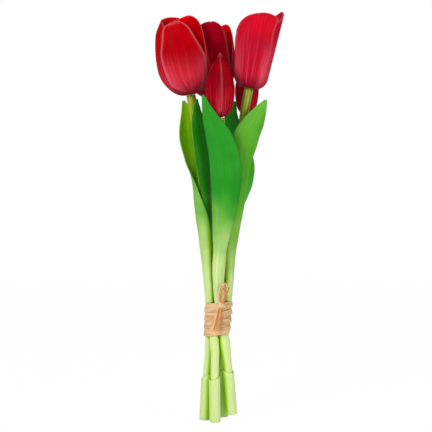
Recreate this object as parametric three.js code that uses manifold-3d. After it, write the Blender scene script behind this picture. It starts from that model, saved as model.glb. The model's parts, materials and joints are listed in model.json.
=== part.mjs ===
// Artificial tulip bouquet: three open blooms and two buds on wire-cored stems, bound with raffia.
// Sizes in millimetres, angles in degrees. +Z is up and the front faces -Y.
import * as THREE from "three";
import { mergeVertices } from "three/addons/utils/BufferGeometryUtils.js";
import ManifoldModule from "manifold-3d";

const solids = await ManifoldModule();
solids.setup();

// Clearances
const SEAT_GAP = 0.3; // between pieces that touch
const WIRE_FIT = 0.3; // round a wire in the bore of a flower core
const HEAD_GAP = 2.2; // between neighbouring flower heads

// Stems, wires and foot sleeves
const STEM_DIA = 8.2;
const STEM_WALL = 2.1;
const WIRE_DIA = 2;
const PEG_LENGTH = 13; // wire standing out of the stem into the flower core
const FOOT_WALL = 0.9;
const SLEEVE_FIT = 0.5; // between a stem and its foot sleeve
const FOOT_FLOOR = 2.5;
const FOOT_HEIGHT = 46;
const FOOT_CUT_ANGLE = 24; // slant of a sleeve's top edge
const FOOT_SPREAD = 2.4; // the sleeves stand wider at the ground than at their tops
const SHORT_STEM = 6; // the front stem is cut shorter by this much
const NECK_HEIGHT = 323; // neck of the highest flower above the ground

// The bundle
const TIE_TWIST = 50; // the stems turn by this much round each other inside the tie
const BUNDLE_SPLAY = 3; // lean of the stems where they leave the tie
const TIE_BOTTOM = 82;
const TIE_LEAD = 7; // the stems lie together from this far below the tie
const BEND_RISE = 9; // from the top of the tie to the place where a stem bends
const BEND_RANGE = 20; // how far a stem bends outwards

// Raffia
const RAFFIA_WIDTH = 6.6;
const RAFFIA_THICKNESS = 1.5;
const RAFFIA_TURNS = 4;
const RAFFIA_TURN_GAP = 1.2; // bare strip between two turns
const RAFFIA_SLACK = 0.55; // between the winding and the stems
const RAFFIA_START = 96; // the winding starts and ends at the back
const KNOT_ANGLE = 276;
const KNOT_SIZE = 8;
const LOOP_HEIGHT = 21;
const TAIL_LENGTH = 24;

// Petals and leaves
const PETAL_THICKNESS = 1;
const WHORL_GAP = 2; // air between the outer and the inner petals of a bloom
const PETAL_LAP = 1.1; // how far the edge of an outer petal lies over or under its neighbour
const PETAL_CLEAR = 57; // a petal that goes this far round to each side stays clear of its neighbours
const BUD_LAP = 0.7; // how far the edges of a bud petal lie over and under its neighbours
const BUD_REACH = 62; // a bud petal goes round to each side by this much
const BUD_CLEAR = 56; // and by this much at its foot and tip
const CORE_DIA = 9;
const LEAF_THICKNESS = 1;

// Flower heads stand side by side round the bundle axis
const HEAD_ROW_GAP = 22.5; // between the left and the right bloom
const HEAD_ROW_SHIFT = 3.25;
const FRONT_BUD_X = 1.6;
const BACK_BLOOM_X = -6.8;

// Each head: drop is how far its neck lies below the highest one, belly is the radius at the top of its
// bowl, mouth the radius at the top. Lean and curl bend the axis of a head sideways, turn is the direction
// of its first petal. Each petal has its half width, how far round it may go to each side, how much each
// side tapers above its widest place, how square each side of its tip is and how broad its heel. Foot is
// how slowly each side widens from the heel and base how far round its heel may go, where they aren't the
// usual. Swing carries its tip round, open leans it out, tall and slant raise its tip and one side of it.
const HEADS = {
  left: {
    bloom: true, drop: 6, height: 76, belly: 25, bellyHeight: 29, bowl: 0.46, mouth: 19, flare: 2,
    tilt: -10, lean: -10, curl: 12, turn: 272,
    outer: [
      { half: 27, reach: [47, 54], taper: [0.6, 0.6], blunt: [10, 7], heel: 0.05, foot: [3, 1.2],
        swing: -18, open: 1, tall: -5.5, slant: 0 },
      { half: 27, reach: [70, 62], taper: [0.6, 0.4], blunt: [4, 6], heel: 0.6,
        swing: 32, open: 1, tall: 1, slant: 1 },
      { half: 34, reach: [62, 80], base: [57, 100], taper: [0.1, 0], blunt: [14, 8], heel: 0.6,
        swing: 0, open: 1.5, tall: 1.5, slant: -3 },
    ],
    inner: { half: 24, reach: [57, 57], taper: [0.3, 0.3], blunt: [3, 3], heel: 0.3,
      swing: 0, open: 0, tall: -26, slant: 0 },
  },
  right: {
    bloom: true, drop: 0, height: 76, belly: 16.5, bellyHeight: 14, bowl: 0.28, mouth: 23, flare: 1,
    tilt: 11, lean: -3, curl: 0, turn: 266,
    outer: [
      { half: 27, reach: [60, 50], taper: [0, 0], blunt: [2.6, 12], heel: 0.3,
        swing: 0, open: -1, tall: -4.5, slant: 4 },
      { half: 27, reach: [74, 60], taper: [0, 0.1], blunt: [6, 6], heel: 0.3,
        swing: 0, open: -0.5, tall: 2, slant: 0 },
      { half: 27, reach: [60, 63], taper: [0.1, 0.1], blunt: [4, 4], heel: 0.3,
        swing: 0, open: -4, tall: -24, slant: 0 },
    ],
    inner: { half: 24, reach: [57, 57], taper: [0.3, 0.3], blunt: [3, 3], heel: 0.3,
      swing: 0, open: -1, tall: -20, slant: 0 },
  },
  middle: {
    bloom: true, drop: 8, height: 76, belly: 23, bellyHeight: 30, bowl: 0.46, mouth: 15.5, flare: 2,
    tilt: 1, lean: 0, curl: 1, turn: 262,
    outer: [
      { half: 24, reach: [60, 60], taper: [0.3, 0.4], blunt: [6, 6], heel: 0.3,
        swing: 0, open: 0, tall: -1.5, slant: 0 },
      { half: 24, reach: [64, 60], taper: [0.5, 0.1], blunt: [4, 4], heel: 0.3,
        swing: 20, open: 1.5, tall: -2, slant: 0 },
      { half: 24, reach: [60, 64], taper: [0.1, 0.1], blunt: [4, 4], heel: 0.3,
        swing: 0, open: 1, tall: -6, slant: 0 },
    ],
    inner: { half: 20, reach: [57, 57], taper: [0.3, 0.3], blunt: [3, 3], heel: 0.3,
      swing: 0, open: 0, tall: -9, slant: 0 },
  },
  front: { bloom: false, drop: 27.5, height: 61, belly: 13.4, bellyHeight: 26, tilt: 0, turn: 218 },
  rear: { bloom: false, drop: 25, height: 54, belly: 11.2, bellyHeight: 25, tilt: 1, turn: 100 },
};

// Whether the two edges of each outer petal lie over (1) or under (-1) the next petal
const PETAL_LAPS = [[1, 1], [-1, 1], [-1, -1]];

// Where each stem stands in the bundle seen from above, at the top of the tie and on the ground
const STEM_ANGLES = { left: 198, front: 270, right: 10, rear: 72, middle: 134 };
const FOOT_ANGLES = { left: 256, front: 347, right: 69, rear: 130, middle: 191 };

// Each leaf clasps its stem at start, with its back towards facing. From there a leaf runs through
// stations: [x and y of the midrib from the stem, height, half width, direction of the back, and how
// far the trough curves round to each side where it isn't the usual]. Start and height are shares of
// the way from the bend up to the highest neck.
const LEAVES = [
  {
    name: "leaf_left_outer", stem: "left", start: 0.05, facing: 225,
    stations: [[-4.6, -4.8, 0.18, 8.6, 226, 74], [-5.5, -6.1, 0.31, 10, 228, 70],
      [-9.5, -1.2, 0.46, 10.6, 190, 55], [-7.6, 9.2, 0.634, 11.5, 128], [-7.2, 9.5, 0.773, 13, 112],
      [-6.6, 10.1, 0.871, 8, 108], [-8.6, 9, 0.944, 0.8, 108]],
  },
  {
    name: "leaf_left_inner", stem: "left", start: 0.315, facing: 304,
    stations: [[4.2, -6.2, 0.49, 6.4, 309, 56], [4.8, -9.5, 0.67, 9.6, 308], [4.3, -10.8, 0.825, 8, 304],
      [4.4, -11, 0.902, 4, 300], [5.2, -10.5, 0.951, 0.8, 300]],
  },
  {
    name: "leaf_front", stem: "front", start: 0.05, facing: 270,
    stations: [[1.9, -6.6, 0.254, 8, 268], [4.8, -8.2, 0.423, 13, 264], [5.2, -9, 0.609, 16, 262],
      [-0.7, -9.5, 0.747, 13.8, 262], [-9.8, -10.7, 0.861, 7.6, 264], [-16.4, -12.7, 0.967, 0.8, 266]],
  },
  {
    name: "leaf_right_outer", stem: "right", start: 0.05, facing: 322,
    stations: [[3.4, -8, 0.254, 7.8, 312], [4.7, -10, 0.423, 9, 300], [4.8, -12, 0.624, 10.5, 290],
      [5.5, -12, 0.747, 13.6, 284], [11.4, -11, 0.838, 11, 284], [16, -9.5, 0.902, 6, 286],
      [18.9, -8.5, 0.946, 0.8, 290]],
  },
  {
    name: "leaf_right_inner", stem: "right", start: 0.28, facing: 128,
    stations: [[-4.8, 8, 0.5, 8, 120], [-8, 10, 0.67, 10.4, 104], [-10.9, 12, 0.809, 9.6, 96],
      [-11.4, 12.5, 0.882, 5.4, 94], [-10.5, 12, 0.941, 0.8, 92]],
  },
  {
    name: "leaf_middle_back", stem: "middle", start: 0.05, facing: 118,
    stations: [[-2.4, 8.8, 0.315, 8.5, 108], [-1, 10, 0.531, 13, 98], [1.5, 12.5, 0.717, 10.5, 95],
      [4, 16, 0.871, 0.8, 95]],
  },
  {
    name: "leaf_middle_side", stem: "middle", start: 0.3, facing: 216,
    stations: [[-6.4, -3, 0.449, 7.6, 214, 60], [-8.6, -6, 0.634, 9.5, 212], [-12.5, -8, 0.789, 7.2, 208],
      [-16, -9.5, 0.897, 0.8, 205]],
  },
  {
    name: "leaf_rear", stem: "rear", start: 0.05, facing: 25,
    stations: [[7.2, 2, 0.315, 8, 15], [12.5, -1, 0.47, 9.5, -18], [12.4, 0, 0.57, 7, -38],
      [10, -1, 0.66, 0.8, -45]],
  },
];

// Sizes that follow from the ones above
const STEM_RADIUS = STEM_DIA / 2;
const WIRE_RADIUS = WIRE_DIA / 2;
const CORE_RADIUS = CORE_DIA / 2;
const RAFFIA_PITCH = RAFFIA_WIDTH + RAFFIA_TURN_GAP;
const TIE_HEIGHT = RAFFIA_PITCH * RAFFIA_TURNS + RAFFIA_WIDTH;
const TIE_TOP = TIE_BOTTOM + TIE_HEIGHT;
const BEND_HEIGHT = TIE_TOP + BEND_RISE;
const BEND_GAP = STEM_RADIUS * Math.tan(radians(BEND_RANGE)) + SEAT_GAP;
const GATHER_HEIGHT = TIE_BOTTOM - TIE_LEAD;
const TIE_RING = ringRadius(STEM_ANGLES, STEM_DIA + 2 * SEAT_GAP);
const FOOT_RADIUS = STEM_RADIUS + SLEEVE_FIT + FOOT_WALL;
const SLEEVE_RING = Math.max(
  ringRadius(STEM_ANGLES, 2 * FOOT_RADIUS + SEAT_GAP),
  ringRadius(FOOT_ANGLES, 2 * FOOT_RADIUS + SEAT_GAP),
);
const FOOT_RING = SLEEVE_RING + FOOT_SPREAD;
const BEND_RING = TIE_RING + BEND_RISE * Math.tan(radians(BUNDLE_SPLAY));
const SHEATH_RADIUS = STEM_RADIUS + 2 * SEAT_GAP + LEAF_THICKNESS / 2;

const MATERIALS = {
  petal: { color: 0xc00014, roughness: 0.5 },
  petalInner: { color: 0xa80010, roughness: 0.55 },
  core: { color: 0xa9b53a, roughness: 0.7 },
  budCore: { color: 0x8c0a14, roughness: 0.7 },
  stem: { color: 0x8fae3c, roughness: 0.5 },
  stemLow: { color: 0xcfe29a, roughness: 0.5 },
  leaf: { color: 0x2f8f35, roughness: 0.5 },
  foot: { color: 0xc5da8c, roughness: 0.5 },
  wire: { color: 0x8c9094, roughness: 0.4, metalness: 1 },
  raffia: { color: 0xd8b184, roughness: 0.85 },
};

function radians(degrees) {
  return THREE.MathUtils.degToRad(degrees);
}

// Smallest ring on which bars of this thickness stand beside each other at the given angles
function ringRadius(places, thickness) {
  const angles = Object.values(places).sort((a, b) => a - b);
  const steps = angles.map((angle, i) => (angles[(i + 1) % angles.length] - angle + 360) % 360);
  return thickness / (2 * Math.sin(radians(Math.min(...steps) / 2)));
}

// Direction of a stem from the bundle axis: the stems wind round each other inside the tie and go
// the shorter way round from there to their feet.
function stemAngle(stem, z) {
  const gathered = STEM_ANGLES[stem] + TIE_TWIST;
  if (z > GATHER_HEIGHT) {
    const share = THREE.MathUtils.clamp((TIE_TOP - z) / (TIE_TOP - GATHER_HEIGHT), 0, 1);
    return STEM_ANGLES[stem] + TIE_TWIST * share;
  }
  const turn = THREE.MathUtils.euclideanModulo(FOOT_ANGLES[stem] - gathered + 180, 360) - 180;
  return gathered + (turn * (GATHER_HEIGHT - z)) / GATHER_HEIGHT;
}

function onRing(stem, radius, z) {
  const angle = radians(stemAngle(stem, z));
  return new THREE.Vector3(radius * Math.cos(angle), radius * Math.sin(angle), z);
}

function plain(geometry) {
  const copy = geometry.clone();
  copy.deleteAttribute("normal");
  copy.deleteAttribute("uv");
  return mergeVertices(copy, 1e-4);
}

function toSolid(geometry) {
  const merged = plain(geometry);
  const mesh = new solids.Mesh({
    numProp: 3,
    vertProperties: Float32Array.from(merged.attributes.position.array),
    triVerts: Uint32Array.from(merged.index.array),
  });
  mesh.merge();
  return new solids.Manifold(mesh);
}

function fromSolid(solid) {
  const mesh = solid.getMesh();
  const geometry = new THREE.BufferGeometry();
  geometry.setAttribute("position", new THREE.BufferAttribute(mesh.vertProperties, 3));
  geometry.setIndex(new THREE.BufferAttribute(mesh.triVerts, 1));
  return geometry;
}

// A flat sheet of the given thickness bent onto surface(u, v), u from -1 to 1 and v from 0 to 1.
// With a crowding above 1 its rows lie closer together towards the tip, where the outline rounds off.
function bentSheet(surface, across, along, thickness, crowding) {
  const geometry = plain(new THREE.BoxGeometry(2, 1, thickness, across, along, 1));
  const position = geometry.attributes.position;
  const step = 1e-3;
  for (let i = 0; i < position.count; i += 1) {
    const u = position.getX(i);
    const v = 1 - (0.5 - position.getY(i)) ** crowding;
    const sideways = surface(u + step, v).sub(surface(u - step, v));
    const lengthways = surface(u, v + step).sub(surface(u, v - step));
    const normal = sideways.cross(lengthways).normalize();
    const point = surface(u, v).addScaledVector(normal, position.getZ(i));
    position.setXYZ(i, point.x, point.y, point.z);
  }
  return geometry;
}

// A band or rod that follows a route; place(t) gives its point, width direction and thickness direction
function bentRod(place, width, thickness, sides, steps) {
  const geometry = plain(new THREE.CylinderGeometry(0.5, 0.5, 1, sides, steps));
  const position = geometry.attributes.position;
  for (let i = 0; i < position.count; i += 1) {
    const spot = place(position.getY(i) + 0.5);
    const point = spot.point
      .clone()
      .addScaledVector(spot.wide, position.getX(i) * width)
      .addScaledVector(spot.thick, position.getZ(i) * thickness);
    position.setXYZ(i, point.x, point.y, point.z);
  }
  return geometry;
}

function ringShape(radius, bore, sides) {
  const corners = (r) =>
    Array.from({ length: sides }, (_, i) => {
      const angle = (2 * Math.PI * i) / sides;
      return new THREE.Vector2(r * Math.cos(angle), r * Math.sin(angle));
    });
  const shape = new THREE.Shape(corners(radius));
  if (bore > 0) {
    shape.holes.push(new THREE.Path(corners(bore).reverse()));
  }
  return shape;
}

function tube(path, radius, bore, sides, steps) {
  const shape = ringShape(radius, bore, sides);
  return new THREE.ExtrudeGeometry(shape, { extrudePath: path, steps, bevelEnabled: false });
}

// A turned piece; the profile holds [radius, height] pairs from the bottom to the top
function turned(profile, sides) {
  const points = profile.map(([r, z]) => new THREE.Vector2(r, z));
  return new THREE.LatheGeometry(points, sides).rotateX(Math.PI / 2);
}

function lineUp(direction) {
  const up = new THREE.Vector3(0, 0, 1);
  const turn = new THREE.Quaternion().setFromUnitVectors(up, direction.clone().normalize());
  return new THREE.Matrix4().makeRotationFromQuaternion(turn);
}

// Heads nest like coins: the left and right bloom make a row, the others fill the notches.
function headCentres() {
  const radius = (name) => HEADS[name].belly + PETAL_THICKNESS / 2;
  const apart = (a, b) => radius(a) + radius(b) + HEAD_GAP;
  const half = HEAD_ROW_GAP / 2;
  const left = new THREE.Vector2(HEAD_ROW_SHIFT - half - radius("left"), 0);
  const right = new THREE.Vector2(HEAD_ROW_SHIFT + half + radius("right"), 0);
  const notch = (name, x) => {
    const fromLeft = apart(name, "left") ** 2 - (x - left.x) ** 2;
    const fromRight = apart(name, "right") ** 2 - (x - right.x) ** 2;
    return Math.sqrt(Math.max(fromLeft, fromRight, 0));
  };
  const front = new THREE.Vector2(FRONT_BUD_X, -notch("front", FRONT_BUD_X));
  const middle = new THREE.Vector2(BACK_BLOOM_X, notch("middle", BACK_BLOOM_X));
  const along = middle.clone().sub(right);
  const span = along.length();
  along.normalize();
  const toRight = apart("rear", "right");
  const toMiddle = apart("rear", "middle");
  const foot = (toRight ** 2 - toMiddle ** 2 + span ** 2) / (2 * span);
  const away = new THREE.Vector2(along.y, -along.x);
  const rear = right
    .clone()
    .addScaledVector(along, foot)
    .addScaledVector(away, Math.sqrt(Math.max(toRight ** 2 - foot ** 2, 0)));
  return { left, right, front, middle, rear };
}

// How far the middle of a head has drifted sideways at a height above its neck
function drift(head, z) {
  const straight = CORE_DIA;
  const part = Math.max(z - straight, 0) / (head.height - straight);
  return (head.lean ?? 0) * part + (head.curl ?? 0) * part * part;
}

function neckDirection(head) {
  return new THREE.Vector3(Math.sin(radians(head.tilt)), 0, Math.cos(radians(head.tilt)));
}

function neckPoint(name, centre) {
  const head = HEADS[name];
  const belly = new THREE.Vector3(drift(head, head.bellyHeight), 0, head.bellyHeight);
  belly.applyMatrix4(lineUp(neckDirection(head)));
  return new THREE.Vector3(centre.x - belly.x, centre.y - belly.y, NECK_HEIGHT - head.drop);
}

// Radius and height of a bloom petal's middle line, from the core out over the belly to the mouth
function bloomLine(head, inner, v) {
  const shrink = inner ? PETAL_THICKNESS + WHORL_GAP : 0;
  const start = CORE_RADIUS + SEAT_GAP;
  const floor = SEAT_GAP + PETAL_THICKNESS + shrink;
  const belly = head.belly - shrink;
  const mouth = head.mouth - shrink;
  const bowl = head.bowl;
  if (v < bowl) {
    const a = (v / bowl) * (Math.PI / 2);
    const z = floor + (head.bellyHeight - floor) * (1 - Math.cos(a));
    return [start + (belly - start) * Math.sin(a), z];
  }
  const s = (v - bowl) / (1 - bowl);
  const z = head.bellyHeight + (head.height - head.bellyHeight) * s;
  return [belly + (mouth - belly) * s ** head.flare, z];
}

// Half width of one side of a petal along its length
function petalOutline(petal, side, v) {
  const peak = 0.4;
  if (v < peak) {
    const slowness = petal.foot ? petal.foot[side] : 1.5;
    const growth = Math.sin(((Math.max(v, 0) / peak) * Math.PI) / 2) ** slowness;
    return petal.half * (petal.heel + (1 - petal.heel) * growth);
  }
  const s = Math.min((v - peak) / (1 - peak), 1);
  const rounding = Math.sqrt(1 - s ** petal.blunt[side]);
  return petal.half * Math.max((1 - petal.taper[side] * s) * rounding, 0.2);
}

function bloomPetal(head, inner, index) {
  const petal = inner ? head.inner : head.outer[index];
  const azimuth = radians(head.turn + 120 * index + (inner ? 60 : 0));
  return (u, v) => {
    const side = u < 0 ? 0 : 1;
    const [line, rise] = bloomLine(head, inner, v);
    const [ahead, above] = bloomLine(head, inner, v + 1e-3);
    const slope = Math.atan2(above - rise, ahead - line);
    const free = inner ? 0 : THREE.MathUtils.smoothstep(v, 0.03, 0.2);
    const base = petal.base ? petal.base[side] : PETAL_CLEAR;
    const limit = radians(THREE.MathUtils.lerp(base, petal.reach[side], free ** 2));
    const spread = Math.min(petalOutline(petal, side, v) / line, limit);
    const top = Math.max(v, 0) ** 5;
    const roll = inner ? -0.8 * u * u * top : 1.2 * u * u * Math.max(v, 0) ** 2;
    const lap = free * PETAL_LAP * PETAL_LAPS[index][side] * Math.abs(u) ** 3;
    const aside = (u * spread) / limit;
    const crown = petal.tall + petal.slant * aside - 1.5 * aside ** 4;
    const r = line + petal.open * top + roll + lap * Math.sin(slope);
    const z = rise + crown * v ** 3 - lap * Math.cos(slope);
    const angle = azimuth + u * spread + radians(petal.swing) * Math.max(v, 0) ** 6;
    return new THREE.Vector3(r * Math.cos(angle) + drift(head, z), r * Math.sin(angle), z);
  };
}

function budLine(head, v) {
  const start = CORE_RADIUS * 0.7;
  const floor = SEAT_GAP + PETAL_THICKNESS;
  const tip = 1.8;
  const bowl = 0.42;
  if (v < bowl) {
    const a = (v / bowl) * (Math.PI / 2);
    const z = floor + (head.bellyHeight - floor) * (1 - Math.cos(a));
    return [start + (head.belly - start) * Math.sin(a), z];
  }
  const s = (v - bowl) / (1 - bowl);
  const z = head.bellyHeight + (head.height - head.bellyHeight) * s;
  return [tip + (head.belly - tip) * Math.cos((s * Math.PI) / 2), z];
}

// One edge of a bud petal lies over the next petal and the other under it
function budPetal(head, index) {
  const azimuth = radians(head.turn + 120 * index);
  return (u, v) => {
    const [line, z] = budLine(head, v);
    const free = THREE.MathUtils.smoothstep(v, 0.02, 0.2) * (1 - THREE.MathUtils.smoothstep(v, 0.62, 0.9));
    const r = line + BUD_LAP * u ** 3 * free;
    const reach = THREE.MathUtils.lerp(BUD_CLEAR, BUD_REACH, THREE.MathUtils.smoothstep(free, 0.85, 1));
    const angle = azimuth + u * radians(reach);
    return new THREE.Vector3(r * Math.cos(angle), r * Math.sin(angle), z);
  };
}

function bloomCore() {
  const bore = WIRE_RADIUS + WIRE_FIT;
  const depth = PEG_LENGTH + SEAT_GAP;
  const profile = [
    [0, depth],
    [bore, depth],
    [bore, SEAT_GAP],
    [CORE_RADIUS - 0.8, SEAT_GAP],
    [CORE_RADIUS, SEAT_GAP + 0.8],
    [CORE_RADIUS, 8],
    [CORE_RADIUS * 0.7, depth - 2],
    [CORE_RADIUS * 0.62, depth + 9],
    [CORE_RADIUS * 0.75, depth + 12],
    [0, depth + 14],
  ];
  return turned(profile, 10);
}

function budCore(head) {
  const bore = WIRE_RADIUS + WIRE_FIT;
  const depth = PEG_LENGTH + SEAT_GAP;
  const skin = PETAL_THICKNESS / 2 + 2 * SEAT_GAP + BUD_LAP;
  const profile = [
    [0, depth],
    [bore, depth],
    [bore, SEAT_GAP],
  ];
  const base = CORE_RADIUS * 0.7 - SEAT_GAP;
  profile.push([base, SEAT_GAP], [base, SEAT_GAP + PETAL_THICKNESS + skin]);
  for (const v of [0.12, 0.26, 0.42, 0.58, 0.74, 0.9]) {
    const [r, z] = budLine(head, v);
    const [ahead, above] = budLine(head, v + 1e-3);
    const length = Math.hypot(ahead - r, above - z);
    profile.push([r - (skin * (above - z)) / length, z + (skin * (ahead - r)) / length]);
  }
  profile.push([0, profile.at(-1)[1] + 1.5]);
  return turned(profile, 12);
}

function footPoint(stem) {
  return onRing(stem, FOOT_RING, stem === "front" ? SHORT_STEM : 0);
}

function sleeveTop(stem) {
  return onRing(stem, SLEEVE_RING, footPoint(stem).z + FOOT_HEIGHT);
}

// The stem from its foot to the bend, straight in the sleeve and winding through the tie
function lowerPath(stem) {
  const foot = footPoint(stem);
  const sleeve = sleeveTop(stem);
  const points = [foot.clone().lerp(sleeve, (FOOT_FLOOR + SEAT_GAP) / FOOT_HEIGHT), sleeve];
  const windingSteps = 3;
  for (let i = 0; i <= windingSteps; i += 1) {
    const z = THREE.MathUtils.lerp(GATHER_HEIGHT, TIE_TOP, i / windingSteps);
    points.push(onRing(stem, TIE_RING, z));
  }
  points.push(onRing(stem, BEND_RING, BEND_HEIGHT));
  const path = new THREE.CurvePath();
  points.slice(1).forEach((point, i) => path.add(new THREE.LineCurve3(points[i], point)));
  return path;
}

// The stem from the bend to the neck of its flower
function upperPath(stem, neck, direction) {
  const bend = onRing(stem, BEND_RING, BEND_HEIGHT);
  const top = onRing(stem, TIE_RING, TIE_TOP);
  const rise = bend.clone().sub(top).normalize();
  const start = bend.clone().addScaledVector(rise, BEND_GAP);
  const reach = neck.distanceTo(start) / 3;
  return new THREE.CubicBezierCurve3(
    start,
    start.clone().addScaledVector(rise, reach),
    neck.clone().addScaledVector(direction, -reach),
    neck,
  );
}

function wirePath(stem, upper, neck, direction) {
  const path = lowerPath(stem);
  const bend = path.curves.at(-1).v2;
  path.add(new THREE.LineCurve3(bend, upper.v0));
  path.add(upper);
  path.add(new THREE.LineCurve3(neck, neck.clone().addScaledVector(direction, PEG_LENGTH)));
  return path;
}

function footSleeve(stem) {
  const foot = footPoint(stem);
  const bore = STEM_RADIUS + SLEEVE_FIT;
  const below = 2;
  const profile = [
    [0, -below],
    [FOOT_RADIUS, -below],
    [FOOT_RADIUS, FOOT_HEIGHT],
    [bore, FOOT_HEIGHT],
    [bore, FOOT_FLOOR],
    [0, FOOT_FLOOR],
  ];
  const sleeve = turned(profile, 14);
  sleeve.applyMatrix4(lineUp(sleeveTop(stem).sub(foot)));
  sleeve.translate(foot.x, foot.y, foot.z);
  const block = FOOT_HEIGHT * 2;
  const ground = new THREE.BoxGeometry(block, block, 20).translate(foot.x, foot.y, foot.z - 10);
  const slant = new THREE.BoxGeometry(block, block, block)
    .translate(0, 0, block / 2)
    .rotateX(radians(FOOT_CUT_ANGLE))
    .rotateZ(radians(FOOT_ANGLES[stem] + 60))
    .translate(foot.x, foot.y, foot.z + FOOT_HEIGHT - FOOT_RADIUS * Math.tan(radians(FOOT_CUT_ANGLE)));
  return fromSolid(toSolid(sleeve).subtract(toSolid(ground)).subtract(toSolid(slant)));
}

// Middle of a stem at a height; above its neck a stem counts as upright
function atHeight(path, z) {
  let low = 0;
  let high = 1;
  for (let i = 0; i < 30; i += 1) {
    const middle = (low + high) / 2;
    if (path.getPoint(middle).z < z) {
      low = middle;
    } else {
      high = middle;
    }
  }
  return path.getPoint(low);
}

// A leaf clasps its stem at the base and opens into a shallow trough towards the tip.
function leafSurface(leaf, path) {
  const claspAngle = 78;
  const troughAngle = 34;
  const facing = radians(leaf.facing);
  const root = [SHEATH_RADIUS * Math.cos(facing), SHEATH_RADIUS * Math.sin(facing), leaf.start];
  const rows = [[...root, SHEATH_RADIUS * radians(claspAngle), leaf.facing, claspAngle], ...leaf.stations];
  const points = rows.map(([x, y, share]) => {
    const z = THREE.MathUtils.lerp(BEND_HEIGHT, NECK_HEIGHT, share);
    return atHeight(path, z).setZ(z).add(new THREE.Vector3(x, y, 0));
  });
  const spine = new THREE.CatmullRomCurve3(points);
  const shape = new THREE.CatmullRomCurve3(
    rows.map(([, , , half, back, curve]) => new THREE.Vector3(half, back, curve ?? troughAngle)),
  );
  return (u, v) => {
    const t = THREE.MathUtils.clamp(v, 0, 1);
    const tangent = spine.getTangent(t);
    const point = spine.getPoint(t).addScaledVector(tangent, (v - t) * 100);
    const section = shape.getPoint(t);
    const turn = radians(section.y);
    const side = new THREE.Vector3(-Math.sin(turn), Math.cos(turn), 0);
    side.addScaledVector(tangent, -side.dot(tangent)).normalize();
    const back = side.clone().cross(tangent).normalize();
    const bow = Math.max(section.x, 0.8) / radians(section.z);
    const angle = u * radians(section.z);
    return point
      .addScaledVector(side, bow * Math.sin(angle))
      .addScaledVector(back, bow * (Math.cos(angle) - 1));
  };
}

// Outline of the bundled stems under a taut band: distance from the axis in a direction at a height
function bundleReach(angle, offset, z) {
  const direction = new THREE.Vector2(Math.cos(angle), Math.sin(angle));
  const centres = Object.keys(STEM_ANGLES)
    .sort((a, b) => STEM_ANGLES[a] - STEM_ANGLES[b])
    .map((stem) => onRing(stem, TIE_RING, z))
    .map((p) => new THREE.Vector2(p.x, p.y));
  let reach = 0;
  centres.forEach((a, i) => {
    const b = centres[(i + 1) % centres.length];
    const edge = b.clone().sub(a);
    const length = edge.length();
    edge.normalize();
    const outward = new THREE.Vector2(edge.y, -edge.x);
    const facing = outward.dot(direction);
    const hit = (outward.dot(a) + offset) / facing;
    const place = direction.clone().multiplyScalar(hit).sub(a).dot(edge);
    if (facing > 0 && place >= 0 && place <= length) {
      reach = Math.max(reach, hit);
    }
    const ahead = a.dot(direction);
    const aside = offset ** 2 - (a.lengthSq() - ahead ** 2);
    if (aside >= 0) {
      reach = Math.max(reach, ahead + Math.sqrt(aside));
    }
  });
  return reach;
}

function windingPlace(t) {
  const offset = STEM_RADIUS + RAFFIA_SLACK + RAFFIA_THICKNESS / 2;
  const at = (part) => {
    const angle = radians(RAFFIA_START) + part * RAFFIA_TURNS * 2 * Math.PI;
    const z = TIE_BOTTOM + RAFFIA_WIDTH / 2 + part * RAFFIA_TURNS * RAFFIA_PITCH;
    const reach = bundleReach(angle, offset, z);
    return new THREE.Vector3(reach * Math.cos(angle), reach * Math.sin(angle), z);
  };
  const along = at(t + 2e-3).sub(at(t - 2e-3)).normalize();
  const thick = along.clone().cross(new THREE.Vector3(0, 0, 1)).normalize();
  return { point: at(t), wide: along.clone().cross(thick), thick };
}

function raffiaWinding() {
  const steps = 24 * RAFFIA_TURNS;
  const band = bentRod(windingPlace, RAFFIA_WIDTH, RAFFIA_THICKNESS, 6, steps);
  const edges = [];
  for (let i = 0; i <= steps; i += 1) {
    const spot = windingPlace(i / steps);
    edges.push([-0.5, 0.5].map((side) => spot.point.clone().addScaledVector(spot.wide, side * RAFFIA_WIDTH)));
  }
  let least = Infinity;
  for (let i = 0; i <= steps; i += 1) {
    for (let j = i + 12; j <= steps; j += 1) {
      least = Math.min(least, edges[i][0].distanceTo(edges[j][1]), edges[i][1].distanceTo(edges[j][0]));
    }
  }
  console.log(`raffia winding: least gap between turns ${least.toFixed(2)} mm`);
  return band;
}

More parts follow.
